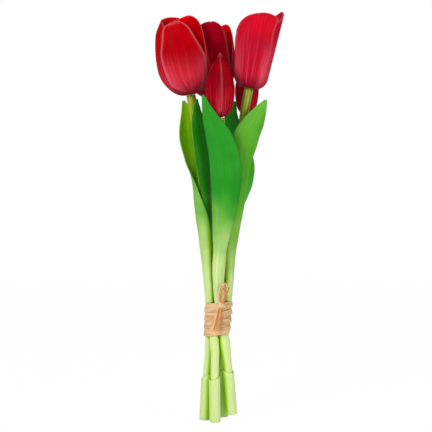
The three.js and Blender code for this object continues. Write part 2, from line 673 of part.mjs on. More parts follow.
// Knot with a standing loop, two loose ends beside it and three tails hanging in front of the winding
function raffiaBow() {
  const angle = radians(KNOT_ANGLE);
  const out = new THREE.Vector3(Math.cos(angle), Math.sin(angle), 0);
  const side = new THREE.Vector3(-Math.sin(angle), Math.cos(angle), 0);
  const up = new THREE.Vector3(0, 0, 1);
  const depth = KNOT_SIZE * 0.34;
  const height = TIE_TOP - RAFFIA_WIDTH * 0.75;
  const clear = bundleReach(angle, STEM_RADIUS + RAFFIA_SLACK + RAFFIA_THICKNESS + SEAT_GAP, height);
  const centre = out.clone().multiplyScalar(clear + depth).setZ(height);
  const spot = (x, forward, z) =>
    centre.clone().addScaledVector(side, x).addScaledVector(out, forward).addScaledVector(up, z);
  const knot = new THREE.SphereGeometry(1, 12, 8);
  knot.applyMatrix4(new THREE.Matrix4().makeBasis(
    out.clone().multiplyScalar(depth),
    side.clone().multiplyScalar(KNOT_SIZE / 2),
    up.clone().multiplyScalar(KNOT_SIZE * 0.42),
  ));
  knot.translate(centre.x, centre.y, centre.z);
  const strand = (points, width, steps) => {
    const curve = new THREE.CatmullRomCurve3(points);
    const place = (t) => {
      const along = curve.getTangent(t);
      const thick = out.clone().addScaledVector(along, -out.dot(along)).normalize();
      return { point: curve.getPoint(t), wide: along.clone().cross(thick), thick };
    };
    return bentRod(place, width, 1.1, 6, steps);
  };
  const high = LOOP_HEIGHT;
  const low = -TAIL_LENGTH;
  const pieces = [
    strand([spot(-1, 0, 1), spot(-1.8, 0.5, high * 0.4), spot(-0.2, 0.9, high * 0.76),
      spot(2.6, 1, high * 0.97), spot(5, 0.9, high * 0.76), spot(4.4, 0.6, high * 0.4),
      spot(1.6, 0.4, 1)], 2.4, 20),
    strand([spot(1, 0.2, 1), spot(5, 1, high * 0.4), spot(8.4, 1.6, high * 0.86)], 2.2, 8),
    strand([spot(-1.4, 0.4, -1), spot(-5, 0.8, low * 0.5), spot(-8.4, 0.6, low * 0.94)], 3, 8),
    strand([spot(-0.4, 0.6, -1), spot(-2.4, 1, low * 0.5), spot(-3.4, 0.8, low)], 3, 8),
    strand([spot(0.8, 0.4, -1), spot(1.2, 0.8, low * 0.5), spot(0.9, 0.4, low)], 2.6, 8),
  ];
  return fromSolid(pieces.reduce((sum, piece) => sum.add(toSolid(piece)), toSolid(knot)));
}

const bouquet = new THREE.Group();
bouquet.name = "tulip_bouquet";

function addPiece(name, geometry, look) {
  const mesh = new THREE.Mesh(geometry, new THREE.MeshStandardMaterial(MATERIALS[look]));
  mesh.name = name;
  bouquet.add(mesh);
}

function addHead(name, neck) {
  const head = HEADS[name];
  const place = lineUp(neckDirection(head)).setPosition(neck);
  const add = (piece, geometry, look) => addPiece(piece, geometry.applyMatrix4(place), look);
  for (let i = 0; i < 3; i += 1) {
    if (head.bloom) {
      const outer = bentSheet(bloomPetal(head, false, i), 6, 9, PETAL_THICKNESS, 1.5);
      const inner = bentSheet(bloomPetal(head, true, i), 4, 8, PETAL_THICKNESS, 1.5);
      add(`petal_${name}_outer_${i + 1}`, outer, "petal");
      add(`petal_${name}_inner_${i + 1}`, inner, "petalInner");
    } else {
      add(`petal_${name}_${i + 1}`, bentSheet(budPetal(head, i), 4, 8, PETAL_THICKNESS, 1), "petal");
    }
  }
  if (head.bloom) {
    add(`core_${name}`, bloomCore(), "core");
  } else {
    add(`core_${name}`, budCore(head), "budCore");
  }
}

const centres = headCentres();
for (const name of Object.keys(STEM_ANGLES)) {
  const direction = neckDirection(HEADS[name]);
  const neck = neckPoint(name, centres[name]);
  const upper = upperPath(name, neck, direction);
  const bore = STEM_RADIUS - STEM_WALL;
  addPiece(`foot_${name}`, footSleeve(name), "foot");
  addPiece(`stem_lower_${name}`, tube(lowerPath(name), STEM_RADIUS, bore, 8, 12), "stemLow");
  addPiece(`stem_upper_${name}`, tube(upper, STEM_RADIUS, bore, 8, 8), "stem");
  addPiece(`wire_${name}`, tube(wirePath(name, upper, neck, direction), WIRE_RADIUS, 0, 5, 20), "wire");
  addHead(name, neck);
  for (const leaf of LEAVES.filter((item) => item.stem === name)) {
    addPiece(leaf.name, bentSheet(leafSurface(leaf, upper), 4, 12, LEAF_THICKNESS, 1.25), "leaf");
  }
}
addPiece("raffia_winding", raffiaWinding(), "raffia");
addPiece("raffia_bow", raffiaBow(), "raffia");

// The origin lies under the middle of the bouquet, on the ground.
const extent = new THREE.Box3().setFromObject(bouquet);
const middle = extent.getCenter(new THREE.Vector3());
bouquet.children.forEach((mesh) => mesh.geometry.translate(-middle.x, -middle.y, -extent.min.z));

export default bouquet;
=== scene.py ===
"""Looks of an artificial tulip bouquet: petals, leaves, stems, foot sleeves and raffia on its solids."""

import json
import math
from functools import partial
from itertools import product

import bmesh
import bpy
from bpy.props import FloatProperty, FloatVectorProperty, PointerProperty
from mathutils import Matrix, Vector, noise
from mathutils.bvhtree import BVHTree


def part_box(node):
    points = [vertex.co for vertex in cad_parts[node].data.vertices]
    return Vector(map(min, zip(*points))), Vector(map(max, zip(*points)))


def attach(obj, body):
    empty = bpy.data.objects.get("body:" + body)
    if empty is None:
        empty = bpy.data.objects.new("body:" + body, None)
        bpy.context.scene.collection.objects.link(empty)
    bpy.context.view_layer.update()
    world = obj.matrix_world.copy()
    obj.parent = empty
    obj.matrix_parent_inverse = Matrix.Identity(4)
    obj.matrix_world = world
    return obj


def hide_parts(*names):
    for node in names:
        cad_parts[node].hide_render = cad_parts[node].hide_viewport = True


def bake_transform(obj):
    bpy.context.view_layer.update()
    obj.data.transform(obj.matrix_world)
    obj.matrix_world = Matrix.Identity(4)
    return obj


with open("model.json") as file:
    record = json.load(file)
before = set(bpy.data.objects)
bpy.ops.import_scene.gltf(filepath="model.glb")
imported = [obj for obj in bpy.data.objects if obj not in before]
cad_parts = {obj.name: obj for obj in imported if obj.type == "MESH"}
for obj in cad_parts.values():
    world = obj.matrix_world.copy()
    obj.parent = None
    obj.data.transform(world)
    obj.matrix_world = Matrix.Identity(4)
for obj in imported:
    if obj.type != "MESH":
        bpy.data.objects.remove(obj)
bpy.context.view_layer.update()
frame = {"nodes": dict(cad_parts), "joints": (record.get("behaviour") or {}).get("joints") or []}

bl_info = {
    "name": "Tulip bouquet",
    "version": (1, 0, 0),
    "blender": (4, 5, 0),
    "location": "3D View > Sidebar > Bouquet",
    "description": "Dresses the solids of an artificial tulip bouquet",
    "category": "Object",
}

# Places and sizes below are in millimetres and angles in degrees, as in the solids
MM = 0.001
UP = Vector((0, 0, 1))
SEAT_GAP = 0.3
STEM_RADIUS = 4.1
PEG_LENGTH = 13.0
FOOT_FLOOR = 2.5
FOOT_HEIGHT = 46.0
FOOT_RADIUS = 5.5
FOOT_CUT_ANGLE = 24.0
TIE_BOTTOM = 82.0
TIE_TOP = 119.8
BEND_HEIGHT = 128.8
NECK_HEIGHT = 323.0
CORE_RADIUS = 4.5
BORE_RADIUS = 1.3
PETAL_THICKNESS = 1.0
WHORL_GAP = 2.0
PETAL_LAP = 1.1
PETAL_CLEAR = 57.0
BUD_FOOT = CORE_RADIUS * 0.7
BUD_REACH = 62.0
BUD_LAP = 0.7
BUD_CLEAR = 56.0
SHEATH_RADIUS = 5.2
LEAF_CLASP = 78.0
LEAF_TROUGH = 34.0
RAFFIA_PITCH = 7.8
RAFFIA_TURNS = 4
RAFFIA_WIDTH = 6.6
RAFFIA_START = 96.0
RAFFIA_REACH = 5.4
KNOT_REACH = 6.45
KNOT_ANGLE = 276.0
KNOT_SIZE = 8.0
KNOT_DEPTH = KNOT_SIZE * 0.34
KNOT_RISE = KNOT_SIZE * 0.42
LOOP_HEIGHT = 21.0
TAIL_LENGTH = 24.0

# A seam is where a feeler of this reach, held square to a surface, comes near another piece; the green
# pieces take painted shade there
FEELER = 7.0
SEAM_SHUT = 0.15 * FEELER
SEAM_OPEN = 0.92 * FEELER

# Faces across or round each kind of piece, and along it
STEM_GRID = (36, 150)
WIRE_GRID = (12, 120)
LEAF_GRID = (26, 110)
BLOOM_GRID = (40, 64)
BUD_GRID = (56, 56)
BAND_GRID = (28, 110 * RAFFIA_TURNS)
KNOT_GRID = (32, 24)
STRAND_GRID = (16, 60)
SWEEP_GRID = (4, 80)
SLEEVE_SIDES = 48
CORE_SIDES = 32

# Texture height 1 on stems and leaves lies this far above the ground, and on raffia this far along it
TEXTURE_HEIGHT = 350.0
RAFFIA_TEXTURE = 100.0

# A small step along a line, as a share of it
STEP = 1e-3

# Stems in their order round the bundle, and the direction of each foot from its axis
STEMS = ("right", "rear", "middle", "left", "front")
FOOT_ANGLES = {"left": 256, "front": 347, "right": 69, "rear": 130, "middle": 191}

# The soft stems swell a little below the raffia, as far as their neighbours leave room
STEM_SWELLS = {"left": 0.45, "front": 0.9, "right": 0.4, "rear": 0.3, "middle": 0.3}
SWELL_HEIGHT = 75.0
SWELL_LENGTH = 9.0

# The usual outer and inner petal of a bloom. Each has its half width, how far round it may go to each
# side at its foot (base) and above (reach), how much each side tapers above its widest place, how square
# each side of its tip is (blunt), how broad its heel is and how slowly each side widens above it (foot).
# Swing carries its tip round, open leans it out, tuck rolls its tip in, tall and slant raise its tip and
# one side of it, and ripple is the wave of its edge.
PETAL = {
    "half": 27, "base": (PETAL_CLEAR, PETAL_CLEAR), "taper": (0.1, 0.1), "blunt": (4, 4), "heel": 0.3,
    "foot": (1.5, 1.5), "swing": 0, "open": 0, "tuck": 0, "slant": 0, "ripple": 0.2,
}
INNER_PETAL = {
    **PETAL, "half": 24, "reach": (PETAL_CLEAR, PETAL_CLEAR), "taper": (0.3, 0.3), "blunt": (3, 3),
    "ripple": 0.1,
}

# Open flower heads, with what sets each of their petals apart. The first petal points to turn.
BLOOMS = {
    "left": {
        "height": 76, "belly": 25, "belly_height": 29, "bowl": 0.46, "mouth": 19, "flare": 2,
        "lean": -10, "curl": 12, "turn": 272,
        "outer": (
            {"reach": (47, 54), "taper": (0.6, 0.6), "blunt": (10, 7), "heel": 0.05, "foot": (3, 1.2),
             "swing": -18, "open": 1, "tall": -5.5, "ripple": 0.6},
            {"reach": (70, 62), "taper": (0.55, 0.15), "blunt": (4, 8), "heel": 0.6, "swing": 32, "open": 1,
             "tall": 1, "slant": 1, "ripple": 0.25},
            {"half": 34, "reach": (62, 80), "base": (57, 100), "taper": (0.1, 0), "blunt": (14, 8),
             "heel": 0.6, "open": 1.5, "tuck": 3.4, "tall": 1.5, "slant": -3, "ripple": 0.15},
        ),
        "inner": {"tall": -26},
    },
    "right": {
        "height": 76, "belly": 16.5, "belly_height": 14, "bowl": 0.28, "mouth": 23, "flare": 1,
        "lean": -3, "curl": 0, "turn": 266,
        "outer": (
            {"reach": (60, 50), "taper": (0, 0), "blunt": (2.6, 12), "open": -1, "tall": -4.5, "slant": 4,
             "ripple": 0.45},
            {"reach": (74, 60), "taper": (0, 0.1), "blunt": (6, 6), "open": -0.5, "tall": 2, "ripple": 1.3},
            {"reach": (60, 63), "open": -4, "tall": -24},
        ),
        "inner": {"open": -1, "tall": -20},
    },
    "middle": {
        "height": 76, "belly": 23, "belly_height": 30, "bowl": 0.46, "mouth": 15.5, "flare": 2,
        "lean": 0, "curl": 1, "turn": 262,
        "outer": (
            {"half": 24, "reach": (60, 60), "taper": (0.3, 0.4), "blunt": (6, 6), "tall": -1.5},
            {"half": 24, "reach": (64, 60), "taper": (0.5, 0.1), "swing": 20, "open": 1.5, "tall": -2},
            {"half": 24, "reach": (60, 64), "open": 1, "tall": -6},
        ),
        "inner": {"half": 20, "tall": -9},
    },
}

# Whether the two edges of each outer petal lie over (1) or under (-1) the next petal
PETAL_LAPS = ((1, 1), (-1, 1), (-1, -1))

# Buds, whose petals each lap over the next one
BUDS = {
    "front": {"height": 61, "belly": 13.4, "belly_height": 26, "turn": 218},
    "rear": {"height": 54, "belly": 11.2, "belly_height": 25, "turn": 100},
}

# Leaves. Each has the place where it starts and the direction that it faces there, then its stations: x
# and y of the midrib from the stem, height, half width, direction of the back, and the curve where it isn't
# usual. Places and heights are shares of the way from the bend to the highest neck.
LEAVES = {
    "leaf_left_outer": (0.05, 225, (
        (-4.6, -4.8, 0.18, 8.6, 226, 74), (-5.5, -6.1, 0.31, 10, 228, 70), (-9.5, -1.2, 0.46, 10.6, 190, 55),
        (-7.6, 9.2, 0.634, 11.5, 128), (-7.2, 9.5, 0.773, 13, 112), (-6.6, 10.1, 0.871, 8, 108),
        (-8.6, 9, 0.944, 0.8, 108),
    )),
    "leaf_left_inner": (0.315, 304, (
        (4.2, -6.2, 0.49, 6.4, 309, 56), (4.8, -9.5, 0.67, 9.6, 308), (4.3, -10.8, 0.825, 8, 304),
        (4.4, -11, 0.902, 4, 300), (5.2, -10.5, 0.951, 0.8, 300),
    )),
    "leaf_front": (0.05, 270, (
        (1.9, -6.6, 0.254, 8, 268), (4.8, -8.2, 0.423, 13, 264), (5.2, -9, 0.609, 16, 262),
        (-0.7, -9.5, 0.747, 13.8, 262), (-9.8, -10.7, 0.861, 7.6, 264), (-16.4, -12.7, 0.967, 0.8, 266),
    )),
    "leaf_right_outer": (0.05, 322, (
        (3.4, -8, 0.254, 7.8, 312), (4.7, -10, 0.423, 9, 300), (4.8, -12, 0.624, 10.5, 290),
        (5.5, -12, 0.747, 13.6, 284), (11.4, -11, 0.838, 11, 284), (16, -9.5, 0.902, 6, 286),
        (18.9, -8.5, 0.946, 0.8, 290),
    )),
    "leaf_right_inner": (0.28, 128, (
        (-4.8, 8, 0.5, 8, 120), (-8, 10, 0.67, 10.4, 104), (-10.9, 12, 0.809, 9.6, 96),
        (-11.4, 12.5, 0.882, 5.4, 94), (-10.5, 12, 0.941, 0.8, 92),
    )),
    "leaf_middle_back": (0.05, 118, (
        (-2.4, 8.8, 0.315, 8.5, 108), (-1, 10, 0.531, 13, 98), (1.5, 12.5, 0.717, 10.5, 95),
        (4, 16, 0.871, 0.8, 95),
    )),
    "leaf_middle_side": (0.3, 216, (
        (-6.4, -3, 0.449, 7.6, 214, 60), (-8.6, -6, 0.634, 9.5, 212), (-12.5, -8, 0.789, 7.2, 208),
        (-16, -9.5, 0.897, 0.8, 205),
    )),
    "leaf_rear": (0.05, 25, (
        (7.2, 2, 0.315, 8, 15), (12.5, -1, 0.47, 9.5, -18), (12.4, 0, 0.57, 7, -38),
        (10, -1, 0.66, 0.8, -45),
    )),
}

# Strands of the bow. Each has its skin, its width and its points from the knot: how far aside, how far
# out and how far up, as a share of the loop's height, or down, as a share of the tails' length. All
# start 1 mm above or below the middle of the knot.
STRAW, TAN, BROWN = range(3)
ABOVE = 1 / LOOP_HEIGHT
BELOW = -1 / TAIL_LENGTH
STRANDS = (
    (STRAW, 1.3, ((-1.2, 0.2, ABOVE), (-2.2, 0.7, 0.4), (-0.8, 1.1, 0.76), (2.2, 1.2, 0.97),
                  (4.6, 1.1, 0.76), (3.6, 0.8, 0.4), (1.2, 0.6, ABOVE))),
    (TAN, 1.1, ((-0.4, 0.6, ABOVE), (-0.6, 1.2, 0.4), (1.2, 1.6, 0.7), (3.4, 1.6, 0.88),
                (5.2, 1.4, 0.66), (3.2, 1, 0.34), (1.4, 0.6, ABOVE))),
    (BROWN, 1.2, ((1, 0.6, ABOVE), (5, 1.2, 0.4), (8.4, 1.6, 0.86))),
    (STRAW, 1.1, ((0.6, 0.2, ABOVE), (4.6, 0.6, 0.36), (6.6, 0.9, 0.7))),
    (BROWN, 0.8, ((0.2, 0.9, ABOVE), (0.4, 1.5, 0.42), (2.6, 1.9, 0.8), (5.6, 1.7, 0.58),
                  (4.2, 1.3, 0.3), (2, 0.9, ABOVE))),
    (STRAW, 1.2, ((0.2, 0.3, ABOVE), (1, 0.8, 0.42), (2.2, 1.2, 0.84), (4.4, 1.3, 1.02),
                  (6.6, 1.1, 0.84), (5.4, 0.8, 0.44), (2.2, 0.5, ABOVE))),
    (TAN, 0.9, ((-0.8, 0.5, ABOVE), (-1.4, 1, 0.42), (0.4, 1.4, 0.84), (2.8, 1.5, 0.92),
                (4, 1.3, 0.62), (2.4, 0.9, ABOVE))),
    (STRAW, 2.6, ((-1.6, 0.6, BELOW), (-5, 2.2, -0.5), (-8.6, 2.4, -0.92))),
    (BROWN, 1.3, ((-1, 1, BELOW), (-3.8, 2.7, -0.5), (-6.4, 2.9, -0.96))),
    (TAN, 2.4, ((-0.4, 0.8, BELOW), (-2.2, 2.3, -0.5), (-3.8, 2.4, -1))),
    (BROWN, 1.4, ((0.8, 0.8, BELOW), (1.3, 2.4, -0.5), (0.9, 2.4, -1))),
)

JOINTS = {joint["name"]: joint for joint in frame["joints"]}


def ring_centre(a, b, c):
    """Centre of the upright ring that three points stand on."""
    a, b, c = (Vector((point[0], point[1], 0)) / MM for point in (a, b, c))
    first = b - a
    second = c - a
    area = 2 * (first.x * second.y - first.y * second.x)
    across = first.length_squared * second - second.length_squared * first
    return a + Vector((across.y, -across.x, 0)) / area


BUNDLE_AXIS = ring_centre(*(JOINTS["bend_" + stem]["pos_m"] for stem in ("left", "front", "right")))


def to_linear(code):
    """Linear colour of an sRGB hex value."""
    parts = [int(code[i:i + 2], 16) / 255 for i in (0, 2, 4)]
    linear = [part / 12.92 if part <= 0.04045 else ((part + 0.055) / 1.055) ** 2.4 for part in parts]
    return (*linear, 1.0)


def colour(name, description, code):
    """A colour that the user can change."""
    return FloatVectorProperty(
        name=name, description=description, default=to_linear(code), size=4, min=0, max=1, subtype="COLOR"
    )


def length(name, description, millimetres):
    """A length that the user can change."""
    return FloatProperty(name=name, description=description, default=millimetres * MM, min=0, unit="LENGTH")


class BouquetSizes(bpy.types.PropertyGroup):
    """Sizes of the bouquet's surfaces."""

    petal_wall: length("Petal thickness", "Thickness of the soft petals", 0.9)
    leaf_wall: length("Leaf thickness", "Thickness of the leaves", 0.9)
    foot_wall: length("Sleeve wall", "Wall of a foot sleeve", 0.9)
    wire_dia: length("Wire diameter", "Steel wire inside a stem", 2.0)
    raffia_wall: length("Raffia thickness", "Thickness of the raffia band", 1.3)
    stem_ridge: length("Stem ridges", "Height of the ridges along a stem", 0.1)


class BouquetColours(bpy.types.PropertyGroup):
    """Colours of the bouquet."""

    petal_red: colour("Petal red", "Open face of a petal", "B4000A")
    petal_deep: colour("Petal deep red", "Darker clouds in a petal", "9E000A")
    rose_red: colour("Rose red", "Open face of the right bloom", "C60A20")
    rose_deep: colour("Rose deep red", "Darker clouds in the right bloom", "AA0E28")
    # Glow red is painted light: the inner face of a back petal, lit as if through it
    painted_glow_red: colour("Glow red", "Inner face of a back petal, with light that comes through it", "E00006")
    # Glow deep red is painted shade on the lower part of that inner face, under the front petal
    glow_shade_red: colour("Glow deep red", "Lower part of that inner face", "700008")
    # Petal pink colours both the printed streaks and a painted pink sheen towards the foot and flanks of a
    # petal
    petal_pink_and_sheen: colour("Petal pink", "Streaks that rise from the foot of a petal", "D8526A")
    # Petal rim is a painted highlight along the edges of a petal
    petal_rim_highlight: colour("Petal rim", "Pale edge of a petal", "E58490")
    petal_heel: colour("Petal heel", "Foot of a petal at the stem", "6E0A1C")
    bud_red: colour("Bud red", "Face of a bud petal", "A80016")
    bud_deep: colour("Bud deep red", "Darker clouds in a bud petal", "7C000E")
    # The back bloom's reds are a copy of the petal reds, set to its tone in the others' shade: painted shade
    back_bloom_shade_red: colour("Dark red", "Face of a petal of the back bloom", "BE0026")
    back_bloom_shade_deep: colour("Dark deep red", "Darker clouds in the back bloom", "98001A")
    leaf_green: colour("Leaf green", "Outer face of the front leaf", "1F8A1C")
    leaf_fresh: colour("Fresh leaf green", "Outer face of the right leaf", "50A01C")
    # This green is painted light: a lit copy of the leaf green for the rear leaf
    leaf_bright: colour("Bright leaf green", "Rear leaf", "34A012")
    leaf_pale: colour("Pale leaf green", "Outer face of the left leaf", "6EAA46")
    # This green is painted shade: a shaded copy of the leaf green for the leaves between the stems
    leaf_dark: colour("Dark leaf green", "Leaves between the stems", "18740C")
    leaf_cloud: colour("Leaf clouds", "What deeper clouds take from a leaf's colour", "C4F2BE")
    leaf_inside: colour("Leaf inside", "Yellow-green inner face of the leaves", "80B806")
    sheath_green: colour("Sheath green", "Pale foot of a leaf round its stem", "D2E49A")
    stem_fresh: colour("Fresh stem", "Stems between the leaf sheaths", "9CC83C")
    stem_olive: colour("Stem olive", "Stem below a flower", "96A22A")
    # Stem lines are partly printed stripes and partly painted highlights on the ridges
    stem_line_and_highlight: colour("Stem lines", "Cream lines along a stem below a flower", "CCCC7C")
    # Seam green is painted shade, multiplied into a green where its piece lies in a seam
    seam_shade_green: colour("Seam green", "Light that reaches a seam through the soft green pieces", "CFEF28")
    stem_brown: colour("Stem brown", "Dark streaks on a stem", "5A600E")
    stem_pale: colour("Stem pale green", "Stem at the tie and below", "CFE396")
    foot_pale: colour("Sleeve pale green", "Foot sleeves", "C8DE90")
    core_green: colour("Core green", "Receptacle and pistil of an open bloom", "A9B53A")
    raffia_tan: colour("Raffia tan", "Dry raffia", "E2BC8E")
    raffia_brown: colour("Raffia brown", "Streaks of the raffia", "B8702E")
    wire_grey: colour("Wire grey", "Steel wire", "8C9094")


# Settings that many nodes share
BLEND = {"data_type": "RGBA"}
SOFT = {"interpolation_type": "SMOOTHSTEP"}
DARKEN = {**BLEND, "blend_type": "MULTIPLY"}
TIMES = {"operation": "MULTIPLY"}
TIMES_PLUS = {"operation": "MULTIPLY_ADD"}
LESS = {"operation": "SUBTRACT"}
MOST = {"operation": "MAXIMUM"}
SOFT_PLASTIC = {"Roughness": 0.45, "IOR": 1.46, "Specular IOR Level": 0.15}


def add_node(tree, kind, settings):
    """Adds a node. Settings name its options or its sockets, which take a value, a socket or a node."""
    node = tree.nodes.new("ShaderNode" + kind)
    for key, value in settings.items():
        if key == "stops":
            stops = node.color_ramp.elements
            for position, tint in value:
                stops.new(position).color = tint
            stops.remove(stops[0])
            stops.remove(stops[-1])
        elif key == "easing":
            node.color_ramp.interpolation = value
        elif isinstance(value, bpy.types.NodeSocket):
            tree.links.new(value, node.inputs[key])
        elif isinstance(value, bpy.types.Node):
            result = next(socket for socket in value.outputs if socket.enabled)
            tree.links.new(result, node.inputs[key])
        elif hasattr(node, str(key)):
            setattr(node, key, value)
        else:
            node.inputs[key].default_value = value
    return node


def new_material(name):
    """An empty material, and what adds nodes to it."""
    material = bpy.data.materials.new(name)
    material.use_nodes = True
    material.node_tree.nodes.clear()
    return material, partial(add_node, material.node_tree)


def draw_streaks(add, across, along, detail, roughness):
    """Lie of a piece's texture, and streaks that run along it, so many across and along the texture."""
    lie = add("UVMap", {"uv_map": "lie"})
    stretch = add("Mapping", {"Scale": (across, along, 1), "Vector": lie})
    streaks = add("TexNoise", {"Scale": 1, "Detail": detail, "Roughness": roughness, "Vector": stretch})
    return lie, streaks


def draw_clouds(add, size, detail):
    """Clouds of a size in millimetres that follow the object."""
    body = add("TexCoord", {})
    return add("TexNoise", {"Scale": 1 / (size * MM), "Detail": detail, "Vector": body.outputs["Object"]})


def paint_seam_shade(add, skin, tints):
    """Deepens a green where its piece lies in a seam: painted shade, tinted as light through soft plastic
    is.
    """
    seam = add("Attribute", {"attribute_name": "seam"})
    return add("Mix", {**DARKEN, 0: seam.outputs["Fac"], 6: skin, 7: tints.seam_shade_green})


def finish_skin(add, skin, relief, strength, depth, settings):
    """Ends a material in its shader, with a relief of a depth in millimetres."""
    grain = add("Bump", {"Strength": strength, "Distance": depth * MM, "Height": relief})
    shader = add("BsdfPrincipled", {**settings, "Base Color": skin, "Normal": grain})
    add("OutputMaterial", {"Surface": shader})


# Soft moulded polyurethane with printed streaks: satin, with a painted pink sheen towards the foot and
# flanks of the petal and painted highlights along its rim
def petal_material(
    name, red, deep, tints, bloom=0.08, streaking=0.02, dusk=0.0, dusk_start=0.4, centre_sheen=0.0, sheen_top=0.62,
    rim_highlight_start=0.92, rim_highlight_share=0.17,
):
    """Petal skin; the texture runs across the petal in x and from foot to tip in y."""
    material, add = new_material(name)
    petal_width = 46.0
    streak_spacing = 2.2
    lie, streaks = draw_streaks(add, petal_width / streak_spacing, 1.3, 3, 0.6)
    across, along, _ = add("SeparateXYZ", {"Vector": lie}).outputs
    streak = add("MapRange", {"From Min": 0.46, "From Max": 0.74, **SOFT, "Value": streaks})
    low = add("MapRange", {"From Min": sheen_top, "From Max": 0.1, **SOFT, "Value": along})
    cloud_size = 24.0
    clouds = draw_clouds(add, cloud_size, 1)
    cloud = add("MapRange", {"From Min": 0.35, "From Max": 0.65, "Value": clouds})
    # With a positive dusk the face turns towards the deep red above dusk start, darker towards the tip; with
    # a negative dusk it turns towards the light red there, which leaves the lower part of the back petals'
    # inner faces darker, painted shade under the front petal
    dim = add("MapRange", {"From Min": dusk_start, "To Max": dusk, "Value": along})
    clear = add("Math", {**LESS, 0: cloud, 1: dim})
    face = add("Mix", {**BLEND, 0: clear, 6: deep, 7: red})
    strength = add("Math", {**TIMES_PLUS, 0: low, 1: 0.55, 2: streaking})
    drawn = add("Math", {**TIMES, 0: strength, 1: streak})
    # Towards its foot and flanks a petal takes a painted pink sheen, so much as bloom says, and its middle a
    # share of that
    aside = add("Math", {**LESS, 0: across, 1: 0.5})
    edge = add("Math", {"operation": "ABSOLUTE", 0: aside})
    flank = add("MapRange", {"From Min": 0.16, "From Max": 0.42, "To Min": centre_sheen, **SOFT, "Value": edge})
    flank_sheen = add("Math", {**TIMES, 0: flank, 1: low})
    # The painted sheen and the printed streaks both draw in petal pink
    sheen = add("Math", {**TIMES_PLUS, 0: flank_sheen, 1: bloom, 2: drawn})
    streaked = add("Mix", {**BLEND, 0: sheen, 6: face, 7: tints.petal_pink_and_sheen})
    # The side and top rims paint a pale highlight along the petal's edges
    side_rim = add("MapRange", {"From Min": 0.41, "From Max": 0.5, **SOFT, "Value": edge})
    top_rim = add("MapRange", {"From Min": rim_highlight_start, "From Max": 1.0, **SOFT, "Value": along})
    rim = add("Math", {**MOST, 0: side_rim, 1: top_rim})
    pale = add("Math", {**TIMES, 0: rim, 1: rim_highlight_share})
    rimmed = add("Mix", {**BLEND, 0: pale, 6: streaked, 7: tints.petal_rim_highlight})
    heel = add("MapRange", {"From Min": 0.26, "From Max": 0.02, "To Max": 0.8, **SOFT, "Value": along})
    skin = add("Mix", {**BLEND, 0: heel, 6: rimmed, 7: tints.petal_heel})
    satin = {"Roughness": 0.5, "IOR": 1.45, "Specular IOR Level": 0.012}
    finish_skin(add, skin, streaks, 0.35, 0.5, satin)
    return material


# Moulded soft plastic leaf: satin, with fine lengthwise veins, fading to pale green round the stem, with a
# painted highlight towards some tips and painted shade in its seams
def leaf_material(name, green, fade_top, tip_share, tints):
    """Leaf skin; the texture runs across the leaf in x and up with its height in y."""
    material, add = new_material(name)
    leaf_width = 26.0
    vein_spacing = 1.4
    vein_length = 90.0
    lie, veins = draw_streaks(add, leaf_width / vein_spacing, TEXTURE_HEIGHT / vein_length, 3, 0.6)
    rise = add("SeparateXYZ", {"Vector": lie}).outputs["Y"]
    cloud_size = 30.0
    clouds = draw_clouds(add, cloud_size, 2)
    lifted = add("Math", {**TIMES_PLUS, 0: clouds, 1: 0.2, 2: -0.1})
    uneven = add("Math", {"operation": "ADD", 0: rise, 1: lifted})

    def paler(share):
        pace = (1, 0.8, 1.3, 1)
        return [a + (b - a) * share ** power for a, b, power in zip(green, tints.sheath_green, pace)]

    shades = [(fade_top - 80, 1), (fade_top - 60, 0.66), (fade_top - 45, 0.42), (fade_top - 30, 0.22)]
    # The last stop pales the leaf towards its tip: a painted highlight
    shades += [(fade_top - 15, 0.07), (fade_top, 0), (290, 0), (340, tip_share)]
    stops = [(height / TEXTURE_HEIGHT, paler(share)) for height, share in shades]
    fade = add("ValToRGB", {"stops": stops, "easing": "B_SPLINE", "Fac": uneven})
    cloudy = add("MapRange", {"From Min": 0.46, "From Max": 0.64, "Value": clouds})
    blade_start = (fade_top - 35) / TEXTURE_HEIGHT
    blade = add("MapRange", {"From Min": blade_start, "From Max": fade_top / TEXTURE_HEIGHT, "Value": rise})
    mottle = add("Math", {**TIMES, 0: cloudy, 1: blade})
    mottled = add("Mix", {**DARKEN, 0: mottle, 6: fade, 7: tints.leaf_cloud})
    vein = add("MapRange", {"From Min": 0.42, "From Max": 0.75, "To Max": 0.38, "Value": veins})
    dark = [0.72 * part for part in green[:3]] + [1.0]
    skin = add("Mix", {**BLEND, 0: vein, 6: mottled, 7: dark})
    finish_skin(add, paint_seam_shade(add, skin, tints), veins, 0.3, 0.4, SOFT_PLASTIC)
    return material


